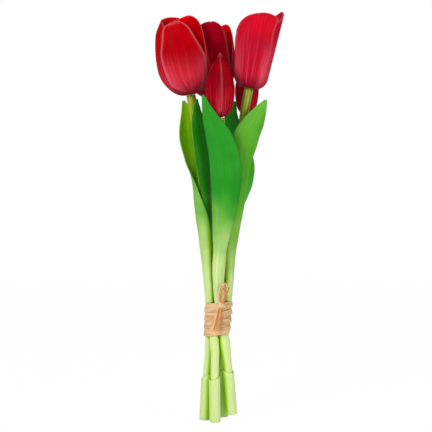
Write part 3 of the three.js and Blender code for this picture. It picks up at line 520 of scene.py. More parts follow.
# Moulded soft plastic stem: satin, olive with brown streaks and cream lines above, partly painted highlights
# on its ridges, pale green at the tie, and painted shade in its seams
def stem_material(name, tints):
    """Stem skin; the texture runs round the stem in x and up with its height in y."""
    material, add = new_material(name)
    girth = 2 * math.pi * STEM_RADIUS
    streak_spacing = 2.0
    streak_length = 70.0
    lie, streaks = draw_streaks(add, girth / streak_spacing, TEXTURE_HEIGHT / streak_length, 2, 0.55)
    rise = add("SeparateXYZ", {"Vector": lie}).outputs["Y"]
    shades = [(135, tints.stem_pale), (165, tints.stem_fresh)]
    shades += [(235, tints.stem_fresh), (275, tints.stem_olive)]
    stops = [(height / TEXTURE_HEIGHT, tint) for height, tint in shades]
    fade = add("ValToRGB", {"stops": stops, "Fac": rise})
    growth = {"From Min": 0.42, "From Max": 0.75, "To Min": 0.12, "To Max": 0.8}
    high = add("MapRange", {**growth, "Value": rise})
    streak = add("MapRange", {"From Min": 0.45, "From Max": 0.7, "Value": streaks})
    drawn = add("Math", {**TIMES, 0: high, 1: streak})
    browned = add("Mix", {**BLEND, 0: drawn, 6: fade, 7: tints.stem_brown})
    # Cream lines up the stem: partly printed stripes, partly painted highlights on its ridges
    line = add("MapRange", {"From Min": 0.44, "From Max": 0.36, "To Max": 0.6, "Value": streaks})
    lined = add("Math", {**TIMES, 0: high, 1: line})
    skin = add("Mix", {**BLEND, 0: lined, 6: browned, 7: tints.stem_line_and_highlight})
    finish_skin(add, paint_seam_shade(add, skin, tints), streaks, 0.4, 0.4, SOFT_PLASTIC)
    return material


# Flexible PVC sleeve: satin and pale, with faint lengthwise drawing marks, and painted shade in its seams
def sleeve_material(name, tints):
    """Foot sleeve; the texture runs round in x and from the ground to the rim in y."""
    material, add = new_material(name)
    mark_spacing = 1.8
    girth = 2 * math.pi * FOOT_RADIUS
    _, marks = draw_streaks(add, girth / mark_spacing, 1.5, 3, 0.6)
    mark = add("MapRange", {"From Min": 0.4, "From Max": 0.75, "To Max": 0.4, "Value": marks})
    greener = [part * share for part, share in zip(tints.foot_pale, (0.72, 0.9, 0.6))] + [1.0]
    skin = add("Mix", {**BLEND, 0: mark, 6: tints.foot_pale, 7: greener})
    finish_skin(add, paint_seam_shade(add, skin, tints), marks, 0.25, 0.3, {"Roughness": 0.42, "IOR": 1.5})
    return material


# Dry raffia palm fibre: dull, split into lengthwise fibres from straw to orange brown
def raffia_material(name, tints, browning):
    """Raffia; the texture runs round a strand in x and along it in y."""
    material, add = new_material(name)
    band_girth = 15.0
    # The real fibres are finer: these are drawn as coarse as they need to show
    fibre_width = 1.5
    fibre_length = 26.0
    _, fibres = draw_streaks(add, band_girth / fibre_width, RAFFIA_TEXTURE / fibre_length, 4, 0.65)
    tan = 0.58 - browning
    brown = 0.74 - 0.5 * browning
    fibre = add("MapRange", {"From Min": tan, "From Max": brown, "Value": fibres})
    skin = add("Mix", {**BLEND, 0: fibre, 6: tints.raffia_tan, 7: tints.raffia_brown})
    finish_skin(add, skin, fibres, 0.6, 0.5, {"Roughness": 0.8, "IOR": 1.5})
    return material


# Drawn steel wire, galvanised: grey metal with faint dull patches
def wire_material(name, tints):
    """Wire; its patches follow the object."""
    material, add = new_material(name)
    patch_size = 4.0
    dull = add("MapRange", {"To Min": 0.3, "To Max": 0.55, "Value": draw_clouds(add, patch_size, 3)})
    shader = add("BsdfPrincipled", {"Base Color": tints.wire_grey, "Metallic": 1.0, "Roughness": dull})
    add("OutputMaterial", {"Surface": shader})
    return material


# Foamed polyurethane: dull, with fine open pores
def foam_material(name, tint):
    """Core foam; its pores follow the object."""
    material, add = new_material(name)
    pore_size = 0.8
    pores = draw_clouds(add, pore_size, 3)
    pore = add("MapRange", {"From Min": 0.4, "From Max": 0.7, "To Max": 0.5, "Value": pores})
    dark = [0.6 * part for part in tint[:3]] + [1.0]
    skin = add("Mix", {**BLEND, 0: pore, 6: tint, 7: dark})
    finish_skin(add, skin, pores, 0.4, 0.3, {"Roughness": 0.75, "IOR": 1.45})
    return material


def seen_share(add):
    """Gives 1 to rays that show a surface, straight or in a reflection, and 0 to those that light it."""
    rays = add("LightPath", {}).outputs
    shown = add("Math", {**MOST, 0: rays["Is Camera Ray"], 1: rays["Is Glossy Ray"]})
    return add("Math", {**MOST, 0: shown, 1: rays["Is Transmission Ray"]})


# White studio paper, which shows the camera a near white and keeps the shadow near the bouquet
def paper_material(name):
    """Studio sweep."""
    material, add = new_material(name)
    body = add("TexCoord", {})
    away = add("VectorMath", {"operation": "LENGTH", 0: body.outputs["Object"]})
    near = 0.5
    far = 1.6
    near_white = 0.97
    plain = add("MapRange", {"From Min": near, "From Max": far, "To Min": near_white, "Value": away})
    part = add("Math", {**TIMES, 0: seen_share(add), 1: plain})
    paper = add("BsdfDiffuse", {"Color": to_linear("F4F4F2")})
    white = add("Emission", {"Color": (1, 1, 1, 1), "Strength": 1})
    shader = add("MixShader", {0: part, 1: paper, 2: white})
    add("OutputMaterial", {"Surface": shader})
    return material


def ring_centres(node, sides):
    """Middle line of a rod, from the bottom to the top, read from its solid."""
    rod = bmesh.new()
    rod.from_mesh(frame["nodes"][node].data)
    bmesh.ops.remove_doubles(rod, verts=rod.verts, dist=1e-5)
    corners = sorted((vert.co / MM for vert in rod.verts), key=lambda corner: corner.z)
    rod.free()
    return [sum(corners[i:i + sides], Vector()) / sides for i in range(0, len(corners), sides)]


MIDDLE_LINES = {stem: ring_centres("wire_" + stem, 5) for stem in STEMS}
AXES = {stem: Vector(JOINTS["pull_" + stem]["axis"]) for stem in STEMS}
NECKS = {stem: MIDDLE_LINES[stem][-1] - AXES[stem] * PEG_LENGTH for stem in STEMS}


def middle_at(stem, z):
    """Middle of a stem at a height."""
    line = MIDDLE_LINES[stem]
    for low, high in zip(line, line[1:]):
        if z <= high.z:
            return low.lerp(high, max((z - low.z) / (high.z - low.z), 0))
    return line[-1].copy()


def spline(points, share):
    """Point on a smooth line through the points, with share from 0 to 1."""
    last = len(points) - 1
    step = min(int(share * last), last - 1)
    part = share * last - step
    b = points[step]
    c = points[step + 1]
    a = points[step - 1] if step > 0 else b * 2 - c
    d = points[step + 2] if step + 2 <= last else c * 2 - b
    before, between, after = [max((q - p).length, 1e-4) ** 0.5 for p, q in ((a, b), (b, c), (c, d))]
    leave = ((b - a) / before - (c - a) / (before + between) + (c - b) / between) * between
    arrive = ((c - b) / between - (d - b) / (between + after) + (d - c) / after) * between
    bend = (c - b) * 3 - leave * 2 - arrive
    twist = (b - c) * 2 + leave + arrive
    return b + leave * part + bend * part ** 2 + twist * part ** 3


def heading(points, share):
    """Direction of the smooth line through the points."""
    ahead = spline(points, min(share + STEP, 1))
    behind = spline(points, max(share - STEP, 0))
    return (ahead - behind).normalized()


def polar(radius, angle, z=0.0):
    """Point at a radius and an angle round the upright axis."""
    return Vector((radius * math.cos(angle), radius * math.sin(angle), z))


def smooth_step(low, high, value):
    """Soft rise from 0 at low to 1 at high."""
    part = min(max((value - low) / (high - low), 0), 1)
    return part * part * (3 - 2 * part)


def bend_grid(shape, size, place, texture=None):
    """Adds a grid bent onto place(across, along), both from 0 to 1, to a shape."""
    layer = shape.loops.layers.uv.verify()
    counts = {"x_segments": size[0], "y_segments": size[1]}
    made = bmesh.ops.create_grid(shape, **counts, size=0.5, calc_uvs=True)["verts"]
    faces = {face for vert in made for face in vert.link_faces}
    for vert in made:
        vert.co = place(vert.co.x + 0.5, vert.co.y + 0.5) * MM
    if texture:
        for face in faces:
            for loop in face.loops:
                lie = loop[layer].uv
                loop[layer].uv = texture(lie.x, lie.y, loop.vert.co / MM)
    return made


def bent_shape(size, place, texture=None):
    """A new shape of one bent grid, with the texture layer that the materials read."""
    shape = bmesh.new()
    shape.loops.layers.uv.new("lie")
    bend_grid(shape, size, place, texture)
    return shape


def by_height(x, y, point):
    """Texture that runs across a piece and up with its height."""
    return x, point.z / TEXTURE_HEIGHT


def close_tube(shape, ends):
    """Joins the seam of a rolled grid and caps its ends."""
    bmesh.ops.remove_doubles(shape, verts=shape.verts, dist=1e-6)
    if ends:
        rims = [edge for edge in shape.edges if edge.is_boundary]
        bmesh.ops.holes_fill(shape, edges=rims, sides=0)
    bmesh.ops.recalc_face_normals(shape, faces=shape.faces)


def green_solids():
    """Search tree over the faces of the solids of stems, sleeves and leaves."""
    whole = bmesh.new()
    for name, node in frame["nodes"].items():
        if name.startswith(("stem", "foot", "leaf")):
            whole.from_mesh(node.data)
    tree = BVHTree.FromBMesh(whole)
    whole.free()
    return tree


GREEN_SOLIDS = green_solids()


def mark_seams(shape):
    """Marks each point of a shape from 0 in the open to 1 deep in a seam, where no feeler fits, for the
    painted seam shade.
    """
    layer = shape.verts.layers.float.new("seam")
    shape.normal_update()
    for vert in shape.verts:
        probe = vert.co + vert.normal * FEELER * MM
        room = GREEN_SOLIDS.find_nearest(probe)[3] / MM
        vert[layer] = 1 - smooth_step(SEAM_SHUT, SEAM_OPEN, room)


def thicken(piece, wall):
    """Gives a sheet its thickness, half to each side, with its inner face in the second material."""
    sheet = piece.modifiers.new("thickness", "SOLIDIFY")
    sheet.thickness = wall
    sheet.offset = 0
    sheet.material_offset = 1
    sheet.material_offset_rim = 0


def add_object(name, shape, materials):
    """Adds a finished shape to the scene as a smooth object."""
    mesh = bpy.data.meshes.new(name)
    for face in shape.faces:
        face.smooth = True
    shape.to_mesh(mesh)
    shape.free()
    for material in materials:
        mesh.materials.append(material)
    piece = bpy.data.objects.new(name, mesh)
    bpy.context.scene.collection.objects.link(piece)
    return piece


def finish_piece(name, shape, materials, nodes):
    """Makes a finished shape an object that stands for its solids."""
    piece = add_object(name, shape, materials)
    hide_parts(*nodes)
    return piece


def bend_with(piece, stem):
    """Bakes a piece's place into its mesh."""
    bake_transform(piece)


def on_head(stem):
    """Carries a point from the frame of a flower head into the bouquet's."""
    turn = UP.rotation_difference(AXES[stem]).to_matrix()
    neck = NECKS[stem]
    return lambda point: turn @ point + neck


def drift(head, z):
    """How far the middle of a head has drifted sideways at a height above its neck."""
    straight = 2 * CORE_RADIUS
    part = max(z - straight, 0) / (head["height"] - straight)
    return head["lean"] * part + head["curl"] * part * part


def head_line(head, v, bowl, start, floor, belly, upper):
    """Radius and height of a petal's middle line: a bowl from its foot to the belly, then upper."""
    middle = head["belly_height"]
    if v < bowl:
        angle = v / bowl * math.pi / 2
        return start + (belly - start) * math.sin(angle), floor + (middle - floor) * (1 - math.cos(angle))
    part = (v - bowl) / (1 - bowl)
    return upper(part), middle + (head["height"] - middle) * part


def bloom_line(head, inner, v):
    """Middle line of a bloom petal, from the core over the belly to the mouth."""
    shrink = PETAL_THICKNESS + WHORL_GAP if inner else 0
    belly = head["belly"] - shrink
    mouth = head["mouth"] - shrink
    floor = SEAT_GAP + PETAL_THICKNESS + shrink

    def upper(part):
        return belly + (mouth - belly) * part ** head["flare"]

    return head_line(head, v, head["bowl"], CORE_RADIUS + SEAT_GAP, floor, belly, upper)


def bud_line(head, v):
    """Middle line of a bud petal, from the core over the belly to the tip."""
    belly = head["belly"]
    tip = 0.5
    bowl = 0.42

    def upper(part):
        return tip + (belly - tip) * math.cos(part * math.pi / 2)

    return head_line(head, v, bowl, BUD_FOOT, SEAT_GAP + PETAL_THICKNESS, belly, upper)


def petal_outline(petal, side, v):
    """Half width of one side of a petal along its length."""
    peak = 0.4
    narrowest = 0.04
    if v < peak:
        growth = math.sin(v / peak * math.pi / 2) ** petal["foot"][side]
        return petal["half"] * (petal["heel"] + (1 - petal["heel"]) * growth)
    part = min((v - peak) / (1 - peak), 1)
    rounding = (1 - part ** petal["blunt"][side]) ** 0.5
    return petal["half"] * max((1 - petal["taper"][side] * part) * rounding, narrowest)


def bloom_petal(stem, inner, index):
    """Surface of a bloom petal with its rolled edge and the grooves that rise from its foot."""
    head = BLOOMS[stem]
    petal = {**INNER_PETAL, **head["inner"]} if inner else {**PETAL, **head["outer"][index]}
    ripple = petal["ripple"]
    groove_depth = 0.14
    azimuth = math.radians(head["turn"] + 120 * index + (60 if inner else 0))
    carry = on_head(stem)
    phase = 1.7 * index + (0.8 if inner else 0)

    def place(across, along):
        u = 2 * across - 1
        side = 0 if u < 0 else 1
        v = 1 - (1 - along) ** 1.5
        line, rise = bloom_line(head, inner, v)
        ahead, above = bloom_line(head, inner, v + STEP)
        slope = math.atan2(above - rise, ahead - line)
        free = 0 if inner else smooth_step(0.03, 0.2, v)
        base = petal["base"][side]
        limit = math.radians(base + (petal["reach"][side] - base) * free ** 2)
        spread = min(petal_outline(petal, side, v) / line, limit)
        spread *= 1 + 0.09 * ripple * math.sin(14 * v + 2 * phase) * smooth_step(0.3, 0.6, v)
        top = v ** 5
        roll = -0.8 * u * u * top if inner else 1.2 * u * u * v * v
        lap = free * PETAL_LAP * PETAL_LAPS[index][side] * abs(u) ** 3
        edge = smooth_step(0.55, 1, abs(u))
        wave = ripple * edge * v * math.sin(13 * v + 2 * u + phase)
        groove = groove_depth * math.sin(17 * u + phase) * (1 - smooth_step(0.1, 0.7, v)) * (1 - u ** 4)
        lift = lap + wave + groove
        tuck = petal["tuck"] * smooth_step(0.84, 1.02, v)
        r = line + petal["open"] * top - tuck + roll + lift * math.sin(slope)
        aside = u * spread / limit
        crown = petal["tall"] + petal["slant"] * aside - 1.5 * aside ** 4
        crown += ripple * math.sin(6 * aside + phase)
        z = rise + crown * v ** 3 - lift * math.cos(slope)
        angle = azimuth + u * spread + math.radians(petal["swing"]) * v ** 6
        return carry(Vector((r * math.cos(angle) + drift(head, z), r * math.sin(angle), z)))

    return place


def bud_petal(stem, index):
    """Surface of a bud petal; one edge laps over the next petal, and ridges run along the seams."""
    head = BUDS[stem]
    azimuth = math.radians(head["turn"] + 120 * index)
    carry = on_head(stem)
    ridge_height = 0.4
    groove_depth = 0.3
    rib_height = 0.1

    def place(across, along):
        u = 2 * across - 1
        line, z = bud_line(head, along)
        rise = smooth_step(0.02, 0.2, along) * (1 - smooth_step(0.8, 1, along))
        seam = 0.95 if u > 0 else 0.86
        ridge = ridge_height * math.exp(-((abs(u) - seam) / 0.035) ** 2)
        groove = groove_depth * math.exp(-((abs(u) - seam + 0.13) / 0.07) ** 2)
        rib = rib_height * math.sin(18 * u + index) * (1 - smooth_step(0.2, 0.9, along))
        r = line + (ridge - groove + BUD_LAP * u ** 3) * rise + rib
        reach = BUD_CLEAR + (BUD_REACH - BUD_CLEAR) * smooth_step(0.85, 1, rise)
        angle = azimuth + u * math.radians(reach)
        return carry(polar(r, angle, z))

    return place


def turned(profile, carry):
    """Surface of a turned piece from its profile of radius and height pairs."""

    def place(across, along):
        radius, z = profile[round(along * (len(profile) - 1))]
        angle = 2 * math.pi * across
        return carry(polar(radius, angle, z))

    return place


def leaf_surface(stem, start, facing, stations):
    """Surface of a leaf that clasps its stem and opens into a shallow trough."""
    root_x = SHEATH_RADIUS * math.cos(math.radians(facing))
    root_y = SHEATH_RADIUS * math.sin(math.radians(facing))
    clasp = (SHEATH_RADIUS * math.radians(LEAF_CLASP), facing, LEAF_CLASP)
    rows = [(root_x, root_y, start, *clasp), *stations]
    rise = NECK_HEIGHT - BEND_HEIGHT
    # The lowest leaves run on down into the tie
    lowest = 0.1
    if start < lowest:
        tight = 0.86
        foot = (TIE_TOP - 4 - BEND_HEIGHT) / rise
        rows.insert(0, (root_x * tight, root_y * tight, foot, clasp[0] * tight, *clasp[1:]))
    narrowest = 0.4
    wave_height = 0.5
    rib_depth = 0.35
    spine = []
    sections = []
    for x, y, share, half, back, *curve in rows:
        z = BEND_HEIGHT + rise * share
        middle = middle_at(stem, z)
        spine.append(Vector((middle.x + x, middle.y + y, z)))
        sections.append(Vector((half, back, curve[0] if curve else LEAF_TROUGH)))

    def place(across, along):
        u = 2 * across - 1
        v = 1 - (1 - along) ** 1.25
        forward = heading(spine, v)
        half, back, curve = spline(sections, v)
        turn = math.radians(back)
        side = Vector((-math.sin(turn), math.cos(turn), 0))
        side = (side - forward * side.dot(forward)).normalized()
        outward = side.cross(forward).normalized()
        bow = max(half, narrowest) / math.radians(curve)
        angle = u * math.radians(curve)
        free = smooth_step(0.25, 0.6, v)
        wave = wave_height * free * u ** 4 * math.sin(20 * v + 2.2 * u)
        rib = -rib_depth * free * math.exp(-(u / 0.16) ** 2) * smooth_step(1, 0.8, v)
        depth = bow * (math.cos(angle) - 1) + wave + rib
        return spline(spine, v) + side * (bow * math.sin(angle)) + outward * depth

    return place


def rod_surface(points, radius, ridge, taper, swell=0.0):
    """Surface of a round rod that follows points, with low ridges along it and a swelling below the tie."""
    ridges = 9

    def place(across, along):
        middle = spline(points, along)
        forward = heading(points, along)
        side = (Vector((1, 0, 0)) - forward * forward.x).normalized()
        other = forward.cross(side)
        angle = 2 * math.pi * across
        reach = (radius + ridge * math.cos(ridges * angle)) * (1 + taper * smooth_step(0.93, 1, along))
        reach += swell * math.exp(-((middle.z - SWELL_HEIGHT) / SWELL_LENGTH) ** 2)
        return middle + side * (reach * math.cos(angle)) + other * (reach * math.sin(angle))

    return place


def bundle_reach(angle, offset, z):
    """Distance from the bundle's axis to a band drawn tight round the stems."""
    direction = polar(1, angle)
    centres = [(middle_at(stem, z) - BUNDLE_AXIS) * Vector((1, 1, 0)) for stem in STEMS]
    reach = 0.0
    for a, b in zip(centres, centres[1:] + centres[:1]):
        edge = (b - a).normalized()
        outward = Vector((edge.y, -edge.x, 0))
        facing = outward.dot(direction)
        if facing > 1e-6:
            hit = (outward.dot(a) + offset) / facing
            if 0 <= (direction * hit - a).dot(edge) <= (b - a).length:
                reach = max(reach, hit)
        ahead = a.dot(direction)
        aside = offset ** 2 - (a.length_squared - ahead ** 2)
        if aside >= 0:
            reach = max(reach, ahead + aside ** 0.5)
    return reach


def band_section(across, width, wall):
    """Rounded flat section of a raffia strand: place across it and out of it."""
    angle = 2 * math.pi * across
    flat = math.copysign(abs(math.sin(angle)) ** 0.6, math.sin(angle))
    return width / 2 * math.cos(angle), wall / 2 * flat


def winding_surface(wall):
    """Surface of the raffia band that winds up round the stems, broad enough at one side to lap."""
    usual_width = 7.4
    broader = 1.6
    broad_side = math.radians(195)
    uneven = 0.9
    crease_depth = 0.4
    tilt = -0.18

    def angle_at(along):
        return math.radians(RAFFIA_START) + along * RAFFIA_TURNS * 2 * math.pi

    def at(along):
        angle = angle_at(along)
        z = TIE_BOTTOM + RAFFIA_WIDTH / 2 + along * RAFFIA_TURNS * RAFFIA_PITCH
        reach = bundle_reach(angle, RAFFIA_REACH, z)
        return BUNDLE_AXIS + polar(reach, angle, z)

    def place(across, along):
        forward = (at(min(along + STEP, 1)) - at(max(along - STEP, 0))).normalized()
        out = forward.cross(UP).normalized()
        wide = out.cross(forward)
        broad = math.cos(angle_at(along) - broad_side)
        width = usual_width + broader * broad + uneven * noise.noise(Vector((along * 23, 0, 2)))
        x, y = band_section(across, width, wall * 0.75)
        crease = crease_depth * noise.noise(Vector((x * 1.3, along * 26, 5)))
        return at(along) + wide * x + out * (y + crease + tilt * x)

    return place


def strand_surface(points, out, width, wall, seed):
    """Surface of a loose raffia strand through points, flat towards out."""

    def place(across, along):
        forward = heading(points, along)
        thick = (out - forward * out.dot(forward)).normalized()
        wide = forward.cross(thick)
        breadth = width * (1 + 0.15 * noise.noise(Vector((along * 6, seed, 0))))
        x, y = band_section(across, breadth, wall)
        fold = 0.25 * noise.noise(Vector((x * 1.2, along * 7, seed)))
        return spline(points, along) + wide * x + thick * (y + fold)

    return place


class BOUQUET_OT_stage(bpy.types.Operator):
    """Sets up the studio sweep, lamps, world and camera"""

    bl_idname = "bouquet.stage"
    bl_label = "Stage"

    def execute(self, context):
        floor_width = 24000.0
        floor_front = -8000.0
        floor_back = 6000.0
        corner = 2500.0
        wall_height = 12000.0
        arc = corner * math.pi / 2
        floor_length = floor_back - floor_front
        whole = floor_length + arc + wall_height

        def place(across, along):
            x = (across - 0.5) * floor_width
            run = along * whole
            if run < floor_length:
                return Vector((x, floor_front + run, 0))
            if run < floor_length + arc:
                angle = (run - floor_length) / corner
                return Vector((x, floor_back + corner * math.sin(angle), corner * (1 - math.cos(angle))))
            return Vector((x, floor_back + corner, corner + run - floor_length - arc))

        shape = bent_shape(SWEEP_GRID, place)
        sweep = add_object("studio_sweep", shape, [paper_material("studio_paper")])

        aim = Vector((0, -0.013, 0.24))
        lamps = {
            "key_lamp": (Vector((-0.8, -1.2, 0.9)), 0.7, 17.0),
            "fill_lamp": (Vector((1.1, -1.0, 0.5)), 0.9, 8.5),
            "top_lamp": (Vector((0.1, 0.3, 1.4)), 0.8, 8.0),
        }
        for name, (spot, size, watts) in lamps.items():
            lamp = bpy.data.lights.new(name, "AREA")
            lamp.size = size
            lamp.energy = watts
            lamp_object = bpy.data.objects.new(name, lamp)
            lamp_object.location = spot
            lamp_object.rotation_euler = (aim - spot).to_track_quat("-Z", "Y").to_euler()
            context.scene.collection.objects.link(lamp_object)

        world = bpy.data.worlds.new("studio_world")
        world.use_nodes = True
        world.node_tree.nodes.clear()
        add = partial(add_node, world.node_tree)
        soft = add("Background", {"Color": (1, 1, 1, 1), "Strength": 0.25})
        white = add("Background", {"Color": (1, 1, 1, 1), "Strength": 1})
        mixed = add("MixShader", {0: seen_share(add), 1: soft, 2: white})
        add("OutputWorld", {"Surface": mixed})
        context.scene.world = world
        context.scene.view_settings.view_transform = "Standard"

        distance = 1.3
        elevation = math.radians(4)
        target = Vector((-0.0033, -0.0130, 0.2))
        view_width = 0.4212
        camera = bpy.data.cameras.new("camera")
        camera.sensor_width = 36
        camera.lens = camera.sensor_width * distance / view_width
        camera_object = bpy.data.objects.new("camera", camera)
        back = Vector((0, -math.cos(elevation), math.sin(elevation)))
        camera_object.location = target + back * distance
        camera_object.rotation_euler = (-back).to_track_quat("-Z", "Y").to_euler()
        context.scene.collection.objects.link(camera_object)
        context.scene.camera = camera_object
        return {"FINISHED"}


class BOUQUET_OT_stems(bpy.types.Operator):
    """Makes the five stems, each one piece from its foot to its flower"""

    bl_idname = "bouquet.stems"
    bl_label = "Stems"

    def execute(self, context):
        ridge = context.scene.bouquet_sizes.stem_ridge / MM
        taper = 0.08
        below_neck = 6
        skin = stem_material("soft_plastic_stem", context.scene.bouquet_colours)
        for stem in STEMS:
            neck = NECKS[stem]
            points = [point for point in MIDDLE_LINES[stem] if point.z < neck.z - below_neck] + [neck]
            rod = rod_surface(points, STEM_RADIUS, ridge, taper, STEM_SWELLS[stem])
            shape = bent_shape(STEM_GRID, rod, by_height)
            close_tube(shape, True)
            mark_seams(shape)
            nodes = ("stem_lower_" + stem, "stem_upper_" + stem)
            piece = finish_piece("stem_" + stem, shape, [skin], nodes)
            bend_with(piece, stem)
        return {"FINISHED"}


class BOUQUET_OT_wires(bpy.types.Operator):
    """Makes the steel wires inside the stems"""

    bl_idname = "bouquet.wires"
    bl_label = "Wires"

    def execute(self, context):
        radius = context.scene.bouquet_sizes.wire_dia / MM / 2
        taper = -0.05
        steel = wire_material("galvanised_steel_wire", context.scene.bouquet_colours)
        for stem in STEMS:
            shape = bent_shape(WIRE_GRID, rod_surface(MIDDLE_LINES[stem], radius, 0, taper))
            close_tube(shape, True)
            piece = finish_piece("core_wire_" + stem, shape, [steel], ["wire_" + stem])
            bend_with(piece, stem)
        return {"FINISHED"}


class BOUQUET_OT_feet(bpy.types.Operator):
    """Makes the foot sleeves with their slanting tops"""

    bl_idname = "bouquet.feet"
    bl_label = "Foot sleeves"

    def execute(self, context):
        wall = context.scene.bouquet_sizes.foot_wall / MM
        skin = sleeve_material("soft_vinyl_sleeve", context.scene.bouquet_colours)
        inside = FOOT_RADIUS - wall
        slope = math.tan(math.radians(FOOT_CUT_ANGLE))
        cut_turn = 60
        # Below this share of its height a sleeve takes nothing from the slant of its top
        straight = 0.06
        profile = [(0, 0), (FOOT_RADIUS - 1, 0), (FOOT_RADIUS - 0.3, 0.005), (FOOT_RADIUS, 0.02)]
        profile += [(FOOT_RADIUS, 0.1 + 0.1 * step) for step in range(9)]
        profile += [(FOOT_RADIUS - 0.06, 0.996), (FOOT_RADIUS - wall / 2, 1.003), (inside + 0.06, 0.996)]
        profile += [(inside, 0.95 - 0.2 * step) for step in range(5)]
        profile += [(inside, FOOT_FLOOR / FOOT_HEIGHT), (0, FOOT_FLOOR / FOOT_HEIGHT)]
        for stem in STEMS:
            line = MIDDLE_LINES[stem]
            axis = (line[1] - line[0]).normalized()
            foot = line[0] - axis * (FOOT_FLOOR + SEAT_GAP)
            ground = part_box("foot_" + stem)[0][2] / MM
            turn = UP.rotation_difference(axis).to_matrix()
            rise = math.radians(FOOT_ANGLES[stem] + cut_turn)

            def place(across, along):
                radius, share = profile[round(along * (len(profile) - 1))]
                angle = 2 * math.pi * across
                top = FOOT_HEIGHT + slope * (radius * math.sin(angle - rise) - FOOT_RADIUS)
                height = share * (top if share > straight else FOOT_HEIGHT)
                point = turn @ polar(radius, angle, height) + foot
                point.z = max(point.z, ground)
                return point

            size = (SLEEVE_SIDES, len(profile) - 1)
            shape = bent_shape(size, place, lambda x, y, point: (x, point.z / FOOT_HEIGHT))
            close_tube(shape, False)
            mark_seams(shape)
            piece = finish_piece("sleeve_" + stem, shape, [skin], ["foot_" + stem])
            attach(piece, "bundle")
        return {"FINISHED"}


class BOUQUET_OT_leaves(bpy.types.Operator):
    """Makes the eight leaves with their pale sheaths"""

    bl_idname = "bouquet.leaves"
    bl_label = "Leaves"

    def execute(self, context):
        wall = context.scene.bouquet_sizes.leaf_wall
        tints = context.scene.bouquet_colours
        skin = partial(leaf_material, tints=tints)
        inside = skin("soft_plastic_leaf_inside", tints.leaf_inside, fade_top=224, tip_share=0)
        green = skin("soft_plastic_leaf", tints.leaf_green, fade_top=224, tip_share=0.05)
        fresh = skin("soft_plastic_leaf_fresh", tints.leaf_fresh, fade_top=216, tip_share=0.34)
        # The two leaves between the stems take a deeper green, painted shade
        dark = skin("soft_plastic_leaf_shaded", tints.leaf_dark, fade_top=224, tip_share=0.02)
        # The rear leaf takes a livelier green on both faces, painted light where it would lie in shade
        lit_leaf = skin("soft_plastic_leaf_lit", tints.leaf_bright, fade_top=200, tip_share=0.1)
        pale = skin("soft_plastic_leaf_pale", tints.leaf_pale, fade_top=228, tip_share=0.1)
        skins = {
            "leaf_left_outer": pale, "leaf_right_outer": fresh, "leaf_rear": lit_leaf,
            "leaf_left_inner": dark, "leaf_right_inner": dark,
        }
        insides = {"leaf_right_inner": green, "leaf_rear": lit_leaf}
        for name, leaf in LEAVES.items():
            stem = name.split("_")[1]
            shape = bent_shape(LEAF_GRID, leaf_surface(stem, *leaf), by_height)
            mark_seams(shape)
            faces = [skins.get(name, green), insides.get(name, inside)]
            piece = finish_piece("blade_" + name, shape, faces, [name])
            thicken(piece, wall)
            bend_with(piece, stem)
        return {"FINISHED"}


class BOUQUET_OT_blooms(bpy.types.Operator):
    """Makes the outer and inner petals of the three open blooms"""

    bl_idname = "bouquet.blooms"
    bl_label = "Bloom petals"

    def execute(self, context):
        wall = context.scene.bouquet_sizes.petal_wall
        tints = context.scene.bouquet_colours
        reds = (tints.petal_red, tints.petal_deep, tints)
        roses = (tints.rose_red, tints.rose_deep, tints)
        glows = (tints.painted_glow_red, tints.glow_shade_red, tints)
        plain = petal_material("soft_polyurethane_petal", *reds)
        # The left bloom's front petal and the right bloom take a stronger painted pink sheen, and the front
        # petal a stronger painted rim highlight
        painted_sheen_skin = petal_material(
            "soft_polyurethane_petal_sheen", *reds, bloom=0.6, streaking=0.03, centre_sheen=0.45, sheen_top=0.52,
            rim_highlight_start=0.86, rim_highlight_share=0.34,
        )
        rose = petal_material("soft_polyurethane_petal_rose", *roses, bloom=0.55, streaking=0.14)
        # The back bloom has its own copy of the petal red, set to the tone it shows in the shade of the
        # others: painted shade
        dark = petal_material("soft_polyurethane_petal_back_shade", tints.back_bloom_shade_red, tints.back_bloom_shade_deep, tints)
        # The inner faces of two back petals of the left bloom and one of the back bloom take painted light
        # at the top and painted shade below
        glow = petal_material("soft_polyurethane_petal_painted_glow", *glows, dusk=-1.5, dusk_start=0.75)
        insides = {("left", 1, False): glow, ("left", 2, False): glow, ("middle", 1, False): glow}
        skins = {("left", 0, False): painted_sheen_skin, ("right", 0, False): rose, ("right", 1, False): rose}
        skins.update({("middle", index, inner): dark for index in (0, 2) for inner in (False, True)})
        for key in product(BLOOMS, range(3), (False, True)):
            stem, index, inner = key
            shape = bent_shape(BLOOM_GRID, bloom_petal(stem, inner, index))
            node = f"petal_{stem}_{'inner' if inner else 'outer'}_{index + 1}"
            skin = skins.get(key, plain)
            piece = finish_piece("soft_" + node, shape, [skin, insides.get(key, skin)], [node])
            thicken(piece, wall)
            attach(piece, "head_" + stem)
        return {"FINISHED"}


class BOUQUET_OT_buds(bpy.types.Operator):
    """Makes the petals of the two buds"""

    bl_idname = "bouquet.buds"
    bl_label = "Bud petals"

    def execute(self, context):
        wall = context.scene.bouquet_sizes.petal_wall
        tints = context.scene.bouquet_colours
        # Bud petals take a little painted pink sheen towards their foot and grow darker towards the tip
        skin = petal_material(
            "soft_polyurethane_bud", tints.bud_red, tints.bud_deep, tints, bloom=0.12, dusk=0.9
        )
        for stem, index in product(BUDS, range(3)):
            shape = bent_shape(BUD_GRID, bud_petal(stem, index))
            node = f"petal_{stem}_{index + 1}"
            piece = finish_piece("soft_" + node, shape, [skin, skin], [node])
            thicken(piece, wall)
            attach(piece, "head_" + stem)
        return {"FINISHED"}


